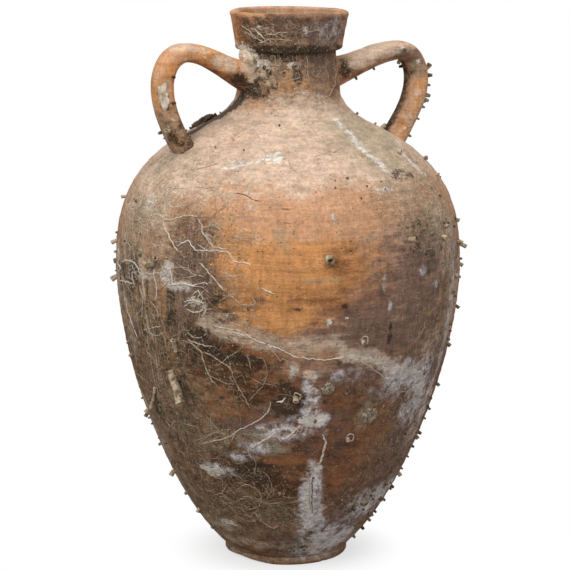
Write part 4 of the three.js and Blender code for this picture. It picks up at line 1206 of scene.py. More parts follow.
# Half of a shell's section, from its lower edge to the mouth or the top, in radii and heights
BARNACLE_HALF = [
    (1.0, 0.0), (1.02, 0.12), (0.93, 0.36), (0.8, 0.62), (0.66, 0.85), (0.54, 0.98), (0.47, 1.0),
    (0.42, 0.95), (0.42 * 0.9, 0.75), (0.42 * 0.8, 0.5), (0.42 * 0.5, 0.42),
]
LIMPET_HALF = [(1.0, 0.0), (1.0, 0.1), (0.86, 0.38), (0.66, 0.66), (0.42, 0.86), (0.18, 0.97)]


class AMPHORA_OT_shells(bpy.types.Operator):
    """Makes the barnacles and the limpet"""

    bl_idname = "amphora.shells"
    bl_label = "Barnacles and Limpet"

    def execute(self, context):
        for i, shell in enumerate(BARNACLES, 1):
            self.shell(f"barnacle_{i:02d}", *shell, BARNACLE_HALF, 6, i)
        for i, shell in enumerate(LIMPETS, 1):
            self.shell(f"limpet_{i:02d}", *shell, LIMPET_HALF, 14, 50 + i)
        return {"FINISHED"}

    def shell(self, node, section, turn, up, radius, height, half, ribs, seed):
        """A shell turned round its own axis, with ribs or plates round it."""
        point, ahead, aside, out = ground(section, turn, up)(0, 0)
        sides = 48
        angle = np.linspace(0, 2 * math.pi, sides, endpoint=False)
        rings = []
        for r, h in [(half[0][0], -settings("growth").shell_root / (height * MM))] + half:
            rib = 0.07 * np.cos(ribs * angle + seed) * min(1, r * 1.4)
            size = r * radius * MM * (1 + rib + 0.04 * np.sin(2 * angle + seed))
            ring = [size * np.cos(angle), size * np.sin(angle), 0 * angle + h * height * MM]
            rings.append(np.stack(ring, axis=-1))
        local = np.vstack(rings)
        local = local + (grain(local, 1.6 * MM, seed) * 0.18 * MM)[:, None]
        points = local @ np.array([aside[:], ahead[:], out[:]]) + np.array(point[:])
        grown_piece(node, *closed_body(points, sides), lime("shell_lime"))


# How rugged a crust is, by the section that it grew on
CRUST_RUGGED = {"upper": 1.2, "neck": 0.5, "left_handle": 0.8}


class AMPHORA_OT_lime_crusts(bpy.types.Operator):
    """Makes the lumps of lime at the left handle, on the shoulder and on the neck"""

    bl_idname = "amphora.lime_crusts"
    bl_label = "Lime Crusts"

    def execute(self, context):
        for i, (section, turn, up, across, along, high) in enumerate(LIME_CRUSTS, 1):
            point, ahead, aside, out = ground(section, turn, up)(0, 0)
            rows, sides = 40, 64
            polar = np.linspace(0.02, math.pi - 0.02, rows)[:, None]
            angle = np.linspace(0, 2 * math.pi, sides, endpoint=False)[None, :]
            ball = [np.sin(polar) * np.cos(angle), np.sin(polar) * np.sin(angle), -np.cos(polar) + 0 * angle]
            local = np.stack(ball, axis=-1).reshape(-1, 3) * np.array([across, along, high]) * MM
            rugged = CRUST_RUGGED[section]
            lumps = rough_grain(local, 5 * MM, 4, 90 + i) * rugged + grain(local, 12 * MM, 95 + i) * 0.15
            local = local * (1 + lumps)[:, None]
            points = local @ np.array([aside[:], ahead[:], out[:]]) + np.array(point[:])
            crust = lime("dark_sea_crust" if section == "upper" else "pale_sea_crust")
            grown_piece(f"lime_crust_{i:02d}", *closed_body(points, sides), crust)
        return {"FINISHED"}


# Worm trails that can be followed one by one: a radius (mm), a tone from 0, a dark crack, to 1, white
# lime, and the places in the camera's picture that they pass
WORM_LINES = [
    (0.5, 0.9, [(152, 215), (158, 214), (163, 218), (165, 228), (170, 238), (175, 248), (179, 252)]),
    (0.45, 0.9, [(163, 219), (172, 220), (180, 217), (190, 215), (197, 217)]), (0.55, 1, [(176, 246),
    (183, 243), (188, 240), (193, 247), (197, 252)]), (0.5, 0.95, [(197, 250), (205, 251), (214, 250),
    (226, 251), (231, 256), (235, 262), (243, 262), (252, 265)]), (0.5, 0.9, [(200, 262), (206, 269),
    (212, 276), (218, 283), (224, 291)]), (0.4, 0.7, [(199, 225), (203, 232), (210, 240), (214, 246),
    (222, 249)]), (0.8, 1, [(168, 285), (176, 284), (185, 283), (190, 286), (198, 284)]),
    (0.7, 1, [(165, 275), (170, 268), (172, 278), (168, 287)]), (0.35, 0.7, [(171, 268), (180, 267),
    (188, 268)]), (0.35, 0.6, [(230, 236), (240, 238), (250, 243), (258, 250)]), (0.6, 1, [(262, 288),
    (268, 291), (275, 295)]), (0.4, 0.8, [(228, 294), (234, 298), (240, 304)]), (0.35, 0.8, [(240, 304),
    (250, 306), (256, 304), (252, 297)]), (0.5, 1, [(184, 303), (190, 300), (197, 301), (203, 303)]),
    (0.4, 0.9, [(197, 301), (200, 294), (204, 290)]), (0.5, 0.9, [(186, 308), (192, 312), (200, 312),
    (204, 308)]), (0.4, 0.7, [(205, 309), (214, 309)]), (0.4, 0.8, [(203, 303), (206, 310), (203, 316)]),
    (0.4, 0.8, [(152, 243), (157, 246), (163, 244), (160, 250)]), (0.5, 0.8, [(225, 276), (232, 275),
    (238, 277)]), (0.35, 0.5, [(215, 247), (222, 240), (216, 232), (206, 228)]), (0.4, 0.8, [(165, 196),
    (172, 190), (176, 183)]), (0.35, 0.7, [(200, 197), (206, 203)]), (0.4, 0.7, [(196, 180), (202, 184),
    (205, 192)]), (0.6, 0.9, [(145, 272), (150, 274), (158, 273), (165, 276)]), (0.45, 0.85, [(167, 203),
    (172, 207), (180, 207), (185, 202), (190, 201)]), (0.4, 0.75, [(168, 187), (178, 188), (187, 188)]),
    (0.35, 0.7, [(193, 206), (192, 215)]), (0.45, 0.85, [(198, 218), (202, 225), (202, 233), (207, 237),
    (210, 243), (215, 248), (228, 249)]), (0.4, 0.75, [(203, 227), (212, 226), (218, 228), (222, 233)]),
    (0.35, 0.7, [(205, 233), (212, 237), (218, 236), (219, 231)]), (0.45, 0.85, [(160, 242), (164, 246),
    (168, 247)]), (0.35, 0.7, [(203, 252), (207, 253), (206, 258)]), (0.4, 0.8, [(187, 278), (192, 276),
    (198, 275), (205, 277)]), (0.5, 0.9, [(198, 284), (203, 282), (208, 285)]), (0.45, 0.9, [(192, 295),
    (198, 290), (203, 298), (200, 302), (188, 303), (183, 307)]), (0.4, 0.8, [(205, 302), (207, 310),
    (202, 317), (205, 320)]), (0.4, 0.75, [(187, 333), (195, 338), (203, 337), (208, 333)]),
    (0.45, 0.7, [(135, 318), (138, 313), (143, 308)]), (0.45, 0.75, [(143, 330), (153, 328), (162, 326)]),
    (0.6, 0.9, [(122, 262), (128, 260), (134, 262), (138, 268), (140, 274)]), (0.6, 0.85, [(133, 264),
    (132, 276), (135, 288)]), (0.6, 0.85, [(141, 270), (143, 284), (146, 300)]), (0.6, 0.9, [(155, 266),
    (154, 276), (157, 288), (156, 300)]), (0.6, 0.9, [(160, 262), (163, 268), (160, 276), (166, 282)]),
    (0.5, 0.8, [(124, 296), (128, 312), (134, 328), (140, 346)]), (0.5, 0.7, [(146, 312), (148, 326),
    (154, 340)]), (0.8, 0.8, [(117, 262), (121, 268), (118, 274)]), (0.7, 0.8, [(120, 280), (128, 282),
    (134, 284)]), (0.5, 0.6, [(128, 262), (130, 275), (129, 290)]), (0.4, 0.5, [(135, 264), (139, 280),
    (137, 296)]), (0.5, 0.5, [(122, 290), (127, 305), (131, 325)]), (0.4, 0.5, [(131, 290), (134, 310),
    (139, 330)]), (0.5, 0.7, [(140, 285), (143, 300), (142, 318)]), (0.4, 0.5, [(148, 310), (152, 325),
    (158, 345)]), (0.5, 1, [(228, 330), (240, 334), (250, 336), (256, 341), (266, 344), (280, 349),
    (292, 355), (300, 358)]), (0.5, 1, [(300, 357), (312, 359), (325, 360), (335, 359), (345, 357)]),
    (0.5, 0.8, [(212, 326), (224, 328), (236, 330), (246, 333)]), (0.45, 0.8, [(187, 338), (193, 342),
    (200, 344), (207, 346), (213, 346)]), (0.5, 0.65, [(190, 342), (197, 347), (202, 353), (204, 360),
    (207, 372), (212, 380), (216, 385)]), (0.5, 0.55, [(203, 352), (212, 356), (220, 361), (228, 366),
    (232, 370), (233, 376), (237, 385), (243, 394), (250, 408)]), (0.4, 0.6, [(247, 355), (249, 362),
    (252, 370)]), (0.4, 0.5, [(256, 357), (263, 358), (267, 366), (267, 376), (262, 387), (254, 395),
    (249, 402)]), (0.5, 0.8, [(271, 402), (269, 410), (262, 418), (252, 424), (243, 428), (236, 432),
    (232, 440)]), (0.6, 0.7, [(236, 432), (228, 438), (215, 440), (203, 444)]), (0.4, 0.6, [(230, 436),
    (218, 432), (208, 436), (200, 442)]), (0.8, 1, [(276, 402), (282, 401), (286, 398)]),
    (0.6, 1, [(284, 440), (292, 433), (300, 425)]), (0.4, 0.7, [(156, 352), (156, 360), (158, 368)]),
    (0.5, 0.6, [(145, 326), (148, 333), (157, 336), (165, 332)]), (0.35, 0.6, [(165, 420), (171, 427),
    (175, 420), (172, 430)]), (0.4, 0.5, [(185, 405), (192, 412), (198, 420)]), (0.5, 0.8, [(361, 340),
    (364, 336), (368, 338), (368, 343), (364, 345), (361, 341)]), (0.5, 0.8, [(293, 396), (296, 392),
    (301, 394), (300, 399), (295, 400), (293, 397)]), (0.5, 0.8, [(346, 437), (350, 433), (354, 436),
    (353, 440), (348, 441), (346, 438)]), (0.3, 0.7, [(395, 390), (405, 392), (415, 388)]),
    (0.3, 0.6, [(398, 412), (400, 420), (405, 424)]), (0.8, 0.9, [(322, 434), (326, 442), (323, 452),
    (320, 464)]), (0.6, 0.95, [(250, 27), (256, 30), (262, 36), (266, 40)]), (0.4, 0.8, [(246, 26),
    (254, 25)]), (0.45, 0.8, [(240, 24), (246, 28), (252, 33), (257, 39)]), (0.4, 0.7, [(244, 31),
    (252, 36), (260, 40), (268, 43)]), (0.4, 0.7, [(257, 30), (264, 28), (271, 29), (277, 33)]),
    (0.4, 0.6, [(262, 38), (271, 39), (281, 40)]), (0.35, 0.6, [(277, 34), (283, 36), (289, 38)]),
    (0.4, 0.7, [(298, 31), (302, 28), (306, 31), (303, 34)]), (0.4, 0.6, [(312, 28), (318, 31), (321, 36),
    (318, 41)]), (0.35, 0.5, [(268, 24), (280, 25), (290, 23)]), (0.4, 0.8, [(266, 34), (274, 34),
    (282, 32), (290, 33)]), (0.4, 0.8, [(258, 43), (264, 42), (268, 39), (272, 43)]), (0.4, 0.7, [(283, 43),
    (288, 40), (292, 42)]), (0.4, 0.7, [(305, 32), (312, 31), (320, 30), (325, 34), (329, 40)]),
    (0.4, 0.7, [(276, 38), (284, 41), (290, 40)]), (0.35, 0.6, [(306, 54), (308, 62), (308, 80)]),
    (0.45, 0.6, [(333, 60), (336, 72), (335, 85), (330, 95), (324, 99)]), (0.3, 0.5, [(325, 58), (326, 70),
    (330, 82)]), (0.35, 0.6, [(292, 53), (293, 60)]), (0.3, 0.6, [(297, 53), (297, 62)]),
    (0.5, 0.7, [(288, 92), (290, 102), (286, 108)]), (0.3, 0.5, [(268, 66), (273, 72), (280, 76)]),
    (0.5, 0.5, [(195, 441), (205, 437), (216, 432), (224, 430)]), (0.5, 0.5, [(200, 445), (212, 440),
    (222, 436)]), (0.7, 1, [(252, 447), (262, 441), (270, 436), (276, 433)]), (0.45, 0.5, [(236, 490),
    (246, 484), (256, 488), (262, 496), (260, 506), (250, 510), (242, 504)]), (0.4, 0.5, [(220, 500),
    (230, 506), (238, 516), (248, 522), (258, 520)]), (0.4, 0.6, [(228, 484), (222, 492), (214, 496)]),
    (0.45, 0.6, [(254, 512), (262, 522), (272, 528), (280, 526)]), (0.35, 0.5, [(262, 470), (270, 478),
    (272, 490), (266, 500)]), (0.4, 0.8, [(358, 360), (368, 366), (378, 372), (386, 380)]),
    (0.35, 0.7, [(306, 470), (310, 484), (309, 500), (314, 516)]), (0.3, 0, [(312, 476), (312, 490),
    (312, 512)]), (0.25, 0, [(235, 193), (245, 195), (254, 200), (262, 201)]), (0.25, 0, [(281, 209),
    (292, 209)]), (0.3, 0, [(283, 222), (290, 223)]),
]

# Beds of the finest trails: turn and height of the middle, half width and half height (mm), how many,
# how long they are and how thick (mm)
TRAIL_BEDS = [
    (212, 285, 34, 50, 22, 24, 0.27), (224, 262, 26, 26, 10, 22, 0.27), (198, 262, 16, 30, 14, 16, 0.34),
    (184, 284, 14, 26, 16, 14, 0.42), (206, 225, 26, 30, 8, 20, 0.25), (236, 186, 34, 26, 6, 30, 0.25),
    (226, 148, 26, 22, 7, 26, 0.27), (205, 120, 30, 50, 16, 12, 0.26), (235, 72, 44, 30, 40, 10, 0.26),
    (215, 96, 34, 34, 26, 12, 0.26), (192, 200, 26, 70, 18, 16, 0.26), (246, 228, 40, 8, 4, 24, 0.25),
    (252, 380, 80, 18, 6, 18, 0.24), (205, 362, 36, 20, 6, 20, 0.26), (236, 446, 34, 16, 12, 15, 0.3),
    (172, 260, 14, 70, 10, 22, 0.3), (300, 240, 40, 60, 6, 16, 0.25), (290, 90, 40, 40, 6, 18, 0.25),
    (60, 250, 130, 130, 80, 34, 0.36), (130, 250, 80, 120, 46, 34, 0.36),
]


class AMPHORA_OT_worm_trails(bpy.types.Operator):
    """Makes the thin worm trails that wander over the clay"""

    bl_idname = "amphora.worm_trails"
    bl_label = "Worm Trails"

    def execute(self, context):
        growth, wall = settings("growth"), outline()
        rng = random.Random(growth.seed)
        runs = [self.follow(wall, rng, places, size * 1.2 * MM, tone) for size, tone, places in WORM_LINES]
        for turn, height, across, up, count, length, thick in TRAIL_BEDS:
            for _ in range(count):
                distance = float(wall.reach(height * MM)) + rng.gauss(0, 0.5) * up * MM
                radius = float(wall.at(min(max(distance, 0), wall.length))[0])
                angle = math.radians(turn) + rng.gauss(0, 0.5) * across * MM / radius
                way = rng.choice((0.2, 2.9, rng.uniform(0, 6.28)))
                size, tone = thick * MM * rng.uniform(0.7, 1.4), rng.uniform(0.25, 0.75)
                reach = length * rng.uniform(0.5, 1.6)
                run, ways = self.wander(wall, rng, angle, distance, way, reach, size, tone)
                runs.append(run)
                for _ in range(rng.choice((0, 1, 1, 2))):
                    fork = rng.randrange(len(ways))
                    side = ways[fork] + rng.choice((-1, 1)) * rng.uniform(0.6, 1.3)
                    start = run[0][fork], float(wall.reach(run[1][fork]))
                    reach = length * rng.uniform(0.2, 0.6)
                    runs.append(self.wander(wall, rng, *start, side, reach, size * 0.85, tone)[0])
        turns, heights, sizes, tones = np.hstack(runs)
        points, out = on_clay(turns, heights)
        points = points + out * (sizes * 0.15)[:, None]
        edges, first = [], 0
        for run in runs:
            count = len(run[0])
            edges += [(first + i, first + i + 1) for i in range(count - 1)]
            first += count
        line = mesh_object("worm_trails_line", points, [], edges)
        lay_attribute(line.data, "thickness", sizes)
        lay_attribute(line.data, "tone", tones)
        grow(line, trail_tree(), "worm_trails", Sides=growth.trail_sides, Material=lime("worm_trail_lime"))
        return {"FINISHED"}

    def taper(self, step, count):
        """How thick a trail is at a step, for it thins out towards both ends."""
        return np.minimum(1, 0.35 + 0.22 * np.minimum(step, count - 1 - step))

    def follow(self, wall, rng, places, size, tone):
        """A trail through places of the picture: its turns, heights, sizes and tones."""
        corners = [seen(x, y, wall)[:2] for x, y in places]
        turns, heights = np.array(corners).T
        radius = wall.at(wall.reach(heights))[0]
        gone = np.concatenate([[0], np.cumsum(np.hypot(np.diff(turns) * radius[1:], np.diff(heights)))])
        count = max(4, int(gone[-1] / settings("growth").trail_step))
        at = np.linspace(0, gone[-1], count)
        line = np.stack([np.interp(at, gone, turns), np.interp(at, gone, heights)])
        drift = np.array([[rng.gauss(0, 1) for _ in range(count)] for _ in range(2)]) * 0.5 * MM
        line = line + drift / np.stack([np.interp(at, gone, radius), np.ones(count)])
        line[:, 1:-1] = line[:, :-2] * 0.25 + line[:, 1:-1] * 0.5 + line[:, 2:] * 0.25
        step = np.arange(count)
        uneven = np.array([rng.uniform(0.72, 1.25) for _ in range(count)])
        paler = np.array([rng.uniform(-0.2, 0.12) for _ in range(count)]) * (tone > 0)
        return np.stack([line[0], line[1], size * self.taper(step, count) * uneven, tone + paler])

    def wander(self, wall, rng, angle, distance, way, length, size, tone):
        """A trail that finds its own way: its turns, heights, sizes and tones, and its ways."""
        step = settings("growth").trail_step
        low, high = 3 * MM, wall.length - 3 * MM
        distance = min(max(distance, low), high)
        radius = float(wall.at(distance)[0])
        count = max(4, int(length * MM / step))
        drift, line, ways = way, [], []
        for i in range(count):
            line.append((angle, distance, size * self.taper(i, count), tone))
            ways.append(way)
            if rng.random() < 0.16:
                way = drift + rng.gauss(0, 0.75)
            way += rng.gauss(0, 0.09)
            angle += step * math.cos(way) / radius
            distance = min(max(distance + step * math.sin(way), low), high)
        run = np.array(line).T
        run[1] = wall.at(run[1])[1]
        return run, ways


def on_clay(turns, heights):
    """Points and outward directions on the finished clay, for turns in radians and heights."""
    form, wall = settings("form"), outline()
    points, out = wall.place(turns, wall.reach(heights))
    collar = heights > RIM[0].z + UNDERCUT
    radius = collar_radius(heights[collar])
    cos, sin = np.cos(turns[collar]), np.sin(turns[collar])
    points[collar] = np.stack([radius * cos, radius * sin, heights[collar]], axis=-1)
    out[collar] = np.stack([cos, sin, 0 * cos], axis=-1)
    return points + out * (relief(points, form) * np.where(collar, 0.8, 1))[:, None], out


def grow(source, tree, name, **inputs):
    """Makes a plain mesh piece of what a node tree does with an object, which is then removed. The
    modifier's inputs are set by their sockets' identifiers."""
    modifier = source.modifiers.new("Growth", "NODES")
    modifier.node_group = tree
    for item in tree.interface.items_tree:
        if item.name in inputs and item.in_out == "INPUT":
            modifier[item.identifier] = inputs[item.name]
    mesh = bpy.data.meshes.new_from_object(source.evaluated_get(bpy.context.evaluated_depsgraph_get()))
    mesh.name = name
    bpy.data.objects.remove(source)
    piece = put(name, mesh)
    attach(piece, "root")


def add_node(tree, kind, inputs=None, **values):
    """A node with its settings, and its inputs as values or as the sockets that feed them."""
    node = tree.nodes.new(kind)
    for name, value in values.items():
        setattr(node, name, value)
    for key, value in (inputs or {}).items():
        if isinstance(value, bpy.types.NodeSocket):
            tree.links.new(value, node.inputs[key])
        else:
            node.inputs[key].default_value = value
    node.location = (180 * len(tree.nodes), 0)
    return node


def node_tree(name, inputs):
    """A geometry node tree with its named inputs, its input node and its output node."""
    tree = bpy.data.node_groups.new(name, "GeometryNodeTree")
    tree.interface.new_socket("Geometry", in_out="INPUT", socket_type="NodeSocketGeometry")
    for label, kind in inputs:
        tree.interface.new_socket(label, in_out="INPUT", socket_type=kind)
    tree.interface.new_socket("Geometry", in_out="OUTPUT", socket_type="NodeSocketGeometry")
    return tree, add_node(tree, "NodeGroupInput").outputs


def trail_tree():
    """Lines with a thickness, as round lime trails."""
    tree, given = node_tree("worm_trails", [("Sides", "NodeSocketInt"), ("Material", "NodeSocketMaterial")])
    curve = add_node(tree, "GeometryNodeMeshToCurve", {"Mesh": given["Geometry"]})
    thickness = add_node(tree, "GeometryNodeInputNamedAttribute", {"Name": "thickness"})
    circle = add_node(tree, "GeometryNodeCurvePrimitiveCircle", {"Resolution": given["Sides"], "Radius": 1.0})
    swept = {
        "Curve": curve.outputs["Curve"],
        "Profile Curve": circle.outputs["Curve"],
        "Scale": thickness.outputs["Attribute"],
        "Fill Caps": True,
    }
    swept = add_node(tree, "GeometryNodeCurveToMesh", swept)
    smooth = add_node(tree, "GeometryNodeSetShadeSmooth", {"Geometry": swept.outputs["Mesh"]})
    return finish_tree(tree, given, smooth.outputs["Geometry"])


def finish_tree(tree, given, geometry):
    """Ends a tree with real geometry in its material."""
    real = add_node(tree, "GeometryNodeRealizeInstances", {"Geometry": geometry}).outputs["Geometry"]
    done = add_node(tree, "GeometryNodeSetMaterial", {"Geometry": real, "Material": given["Material"]})
    add_node(tree, "NodeGroupOutput", {"Geometry": done.outputs["Geometry"]})
    return tree


# Beds of small stubs: turn and height of the middle, half width and half height (mm), how many, and
# their size (mm)
STUB_BEDS = [
    (172, 300, 30, 60, 10, 0.9), (186, 276, 12, 16, 16, 1.0), (178, 180, 30, 60, 9, 0.9),
    (192, 80, 30, 40, 8, 1.0), (320, 300, 30, 60, 12, 0.9), (312, 180, 30, 60, 10, 1.0),
    (300, 80, 34, 40, 12, 1.0), (296, 310, 20, 24, 12, 1.1), (215, 270, 40, 60, 14, 0.8),
    (215, 150, 60, 60, 16, 0.8), (262, 130, 50, 70, 14, 0.9), (285, 60, 30, 26, 12, 1.0),
    (270, 360, 60, 30, 10, 0.7), (238, 448, 40, 12, 8, 0.9), (206, 448, 10, 12, 12, 1.0),
    (258, 26, 24, 10, 8, 1.0), (70, 230, 160, 140, 80, 1.0),
]
# Stubs on the handles: their places in the camera's picture and their size (mm)
HANDLE_STUBS = {
    "left_handle": [
        (173, 77, 1.3), (173, 103, 1.5), (160, 133, 1.5), (177, 136, 1.2), (166, 138, 1.1), (182, 131, 1.0),
    ],
    "right_handle": [
        (430, 75, 1.8), (428, 85, 1.2), (428, 95, 1.9), (429, 101, 1.8), (425, 108, 1.2), (420, 120, 1.0),
        (402, 66, 1.5), (374, 69, 1.1), (356, 78, 1.2), (384, 124, 1.2), (404, 50, 1.6), (410, 136, 1.2),
    ],
}
# Stubs along the outline: their places in the camera's picture and their size (mm)
OUTLINE_STUBS = [
    (429, 408, 1.3), (425, 418, 1.0), (419, 432, 1.7), (414, 446, 1.2), (403, 468, 1.1), (397, 486, 1.6),
    (387, 499, 1.4), (377, 511, 1.3), (371, 519, 1.5), (364, 527, 1.6), (358, 536, 1.4), (407, 456, 1.0),
    (186, 131, 0.9), (191, 129, 1.1), (197, 124, 0.9), (209, 116, 1.6), (217, 113, 0.8), (361, 114, 1.3),
    (381, 124, 1.1), (134, 398, 1.0), (160, 437, 1.2), (115, 262, 1.2),
]
# Single stubs that stand out in the outline: turn, height and size (mm)
SINGLE_STUBS = [
    (160, 300, 1.1), (161, 283, 1.2), (162, 276, 1.5), (170, 127, 1.1), (166, 105, 1.4), (178, 64, 1.7),
    (186, 32, 1.5), (190, 24, 1.2), (330, 278, 1.2), (328, 262, 1.0), (321, 216, 1.0), (318, 168, 1.0),
    (317, 155, 1.2), (316, 148, 1.3), (314, 110, 1.2), (310, 76, 1.0), (306, 62, 1.9), (303, 48, 1.2),
    (298, 34, 1.3), (297, 30, 1.0), (307, 99, 1.3), (303, 92, 1.2), (301, 86, 1.1), (280, 64, 1.5),
    (284, 60, 1.4), (257, 34, 1.6), (260, 30, 1.4), (248, 20, 1.6), (205, 386, 1.0), (238, 404, 0.9),
    (222, 386, 0.8),
]


class AMPHORA_OT_stubs(bpy.types.Operator):
    """Makes the many small stubs of worm tube on the wall"""

    bl_idname = "amphora.stubs"
    bl_label = "Worm Stubs"

    def execute(self, context):
        form, wall = settings("form"), outline()
        rng = random.Random(settings("growth").seed + 1)
        turns, distances, sizes, leans = [], [], [], []

        def stand(turn, distance, size, lean):
            turns.append(turn)
            distances.append(distance)
            sizes.append(size * MM)
            leans.append(lean)

        for turn, height, across, up, count, size in STUB_BEDS:
            for _ in range(count):
                distance = float(wall.reach(height * MM)) + rng.gauss(0, 0.5) * up * MM
                distance = min(max(distance, 6 * MM), wall.length - 6 * MM)
                radius = float(wall.at(distance)[0])
                aside = math.radians(turn) + rng.gauss(0, 0.55) * across * MM / radius
                scale = size * rng.uniform(0.55, 1.5)
                stand(aside, distance, scale, [rng.gauss(0, 0.35), rng.gauss(0, 0.35), rng.gauss(-0.2, 0.3)])
        for turn, height, size in SINGLE_STUBS:
            stand(math.radians(turn), float(wall.reach(height * MM)), size, [0, 0, -0.15])
        for x, y, size in OUTLINE_STUBS:
            turn, height = seen(x, y, wall)[:2]
            stand(turn, float(wall.reach(height)), size, [0, 0, -0.1])
        points, out = wall.place(np.array(turns), np.array(distances))
        points = points + out * (relief(points, form) - 0.4 * MM)[:, None]
        way = out + np.array(leans)
        for node, places in HANDLE_STUBS.items():
            on_strap, leaving = strap_surface(Strap(*HANDLES[node]))[:2]
            x, y = picture(on_strap)
            near = [np.argmin(np.hypot(x - to_x, y - to_y)) for to_x, to_y, _ in places]
            points, way = np.vstack([points, on_strap[near]]), np.vstack([way, leaving[near]])
            sizes += [size * MM for *_, size in places]
        source = mesh_object("worm_stub_points", points, [])
        lay_attribute(source.data, "size", sizes)
        way_layer = source.data.attributes.new("way", "FLOAT_VECTOR", "POINT")
        way_layer.data.foreach_set("vector", way.astype(np.float32).ravel())
        grow(source, stub_tree(), "worm_stubs", Sides=9, Length=2.2, Material=lime("worm_stub_lime"))
        return {"FINISHED"}


def stub_tree():
    """Points with a size and a way out, as short open tubes."""
    kinds = [("Sides", "NodeSocketInt"), ("Length", "NodeSocketFloat"), ("Material", "NodeSocketMaterial")]
    tree, given = node_tree("worm_stubs", kinds)
    cone = {"Vertices": given["Sides"], "Side Segments": 2, "Radius Top": 0.78, "Radius Bottom": 1.15}
    stub = add_node(tree, "GeometryNodeMeshCone", {**cone, "Depth": given["Length"]}).outputs
    top = {"Mesh": stub["Mesh"], "Selection": stub["Top"], "Offset Scale": 0.0}
    lip = add_node(tree, "GeometryNodeExtrudeMesh", top).outputs
    narrow = {"Geometry": lip["Mesh"], "Selection": lip["Top"], "Scale": 0.58}
    inner = add_node(tree, "GeometryNodeScaleElements", narrow).outputs
    sunk = {"Mesh": inner["Geometry"], "Selection": lip["Top"], "Offset Scale": -0.9}
    well = add_node(tree, "GeometryNodeExtrudeMesh", sunk).outputs
    way = add_node(tree, "GeometryNodeInputNamedAttribute", {"Name": "way"}, data_type="FLOAT_VECTOR").outputs
    size = add_node(tree, "GeometryNodeInputNamedAttribute", {"Name": "size"}).outputs
    turn = add_node(tree, "FunctionNodeAlignRotationToVector", {"Vector": way["Attribute"]}, axis="Z").outputs
    place = {"Rotation": turn["Rotation"], "Scale": size["Attribute"]}
    placed = {"Points": given["Geometry"], "Instance": well["Mesh"], **place}
    placed = add_node(tree, "GeometryNodeInstanceOnPoints", placed).outputs
    return finish_tree(tree, given, placed["Instances"])


def cleared(owner):
    """The empty node tree of a material or a world."""
    owner.use_nodes = True
    owner.node_tree.nodes.clear()
    return owner.node_tree


# How each film lies on the clay, in the order in which they were laid: its name, the size of the
# breaks in its edge (mm), how ragged and how soft that edge is, how much of the clay it covers and how
# much its own tone varies
FILM_EDGES = [
    ("ember", 20, 2.6, 0.5, 0.88, 0.14),
    ("blush", 14, 2.2, 0.45, 0.8, 0.07),
    ("rust", 16, 2.4, 0.42, 0.88, 0.34),
    ("umber", 13, 2.9, 0.38, 0.92, 0.4),
    ("plum", 12, 2.8, 0.42, 0.84, 0.34),
    ("russet", 9, 3.0, 0.44, 0.8, 0.2),
    ("silt", 10, 2.8, 0.34, 0.78, 0.12),
    ("olive", 8, 2.6, 0.4, 0.55, 0.16),
    ("soot", 6, 3.4, 0.22, 0.85, 0.3),
    ("lilac", 9, 5.0, 0.5, 0.88, 0.22),
    ("lime", 5, 3.8, 0.2, 0.92, 0.08),
]
# The films that settled in streaks along the wheel's lines
STREAKED = ("ember", "blush", "rust", "umber", "plum", "russet", "silt", "lime")


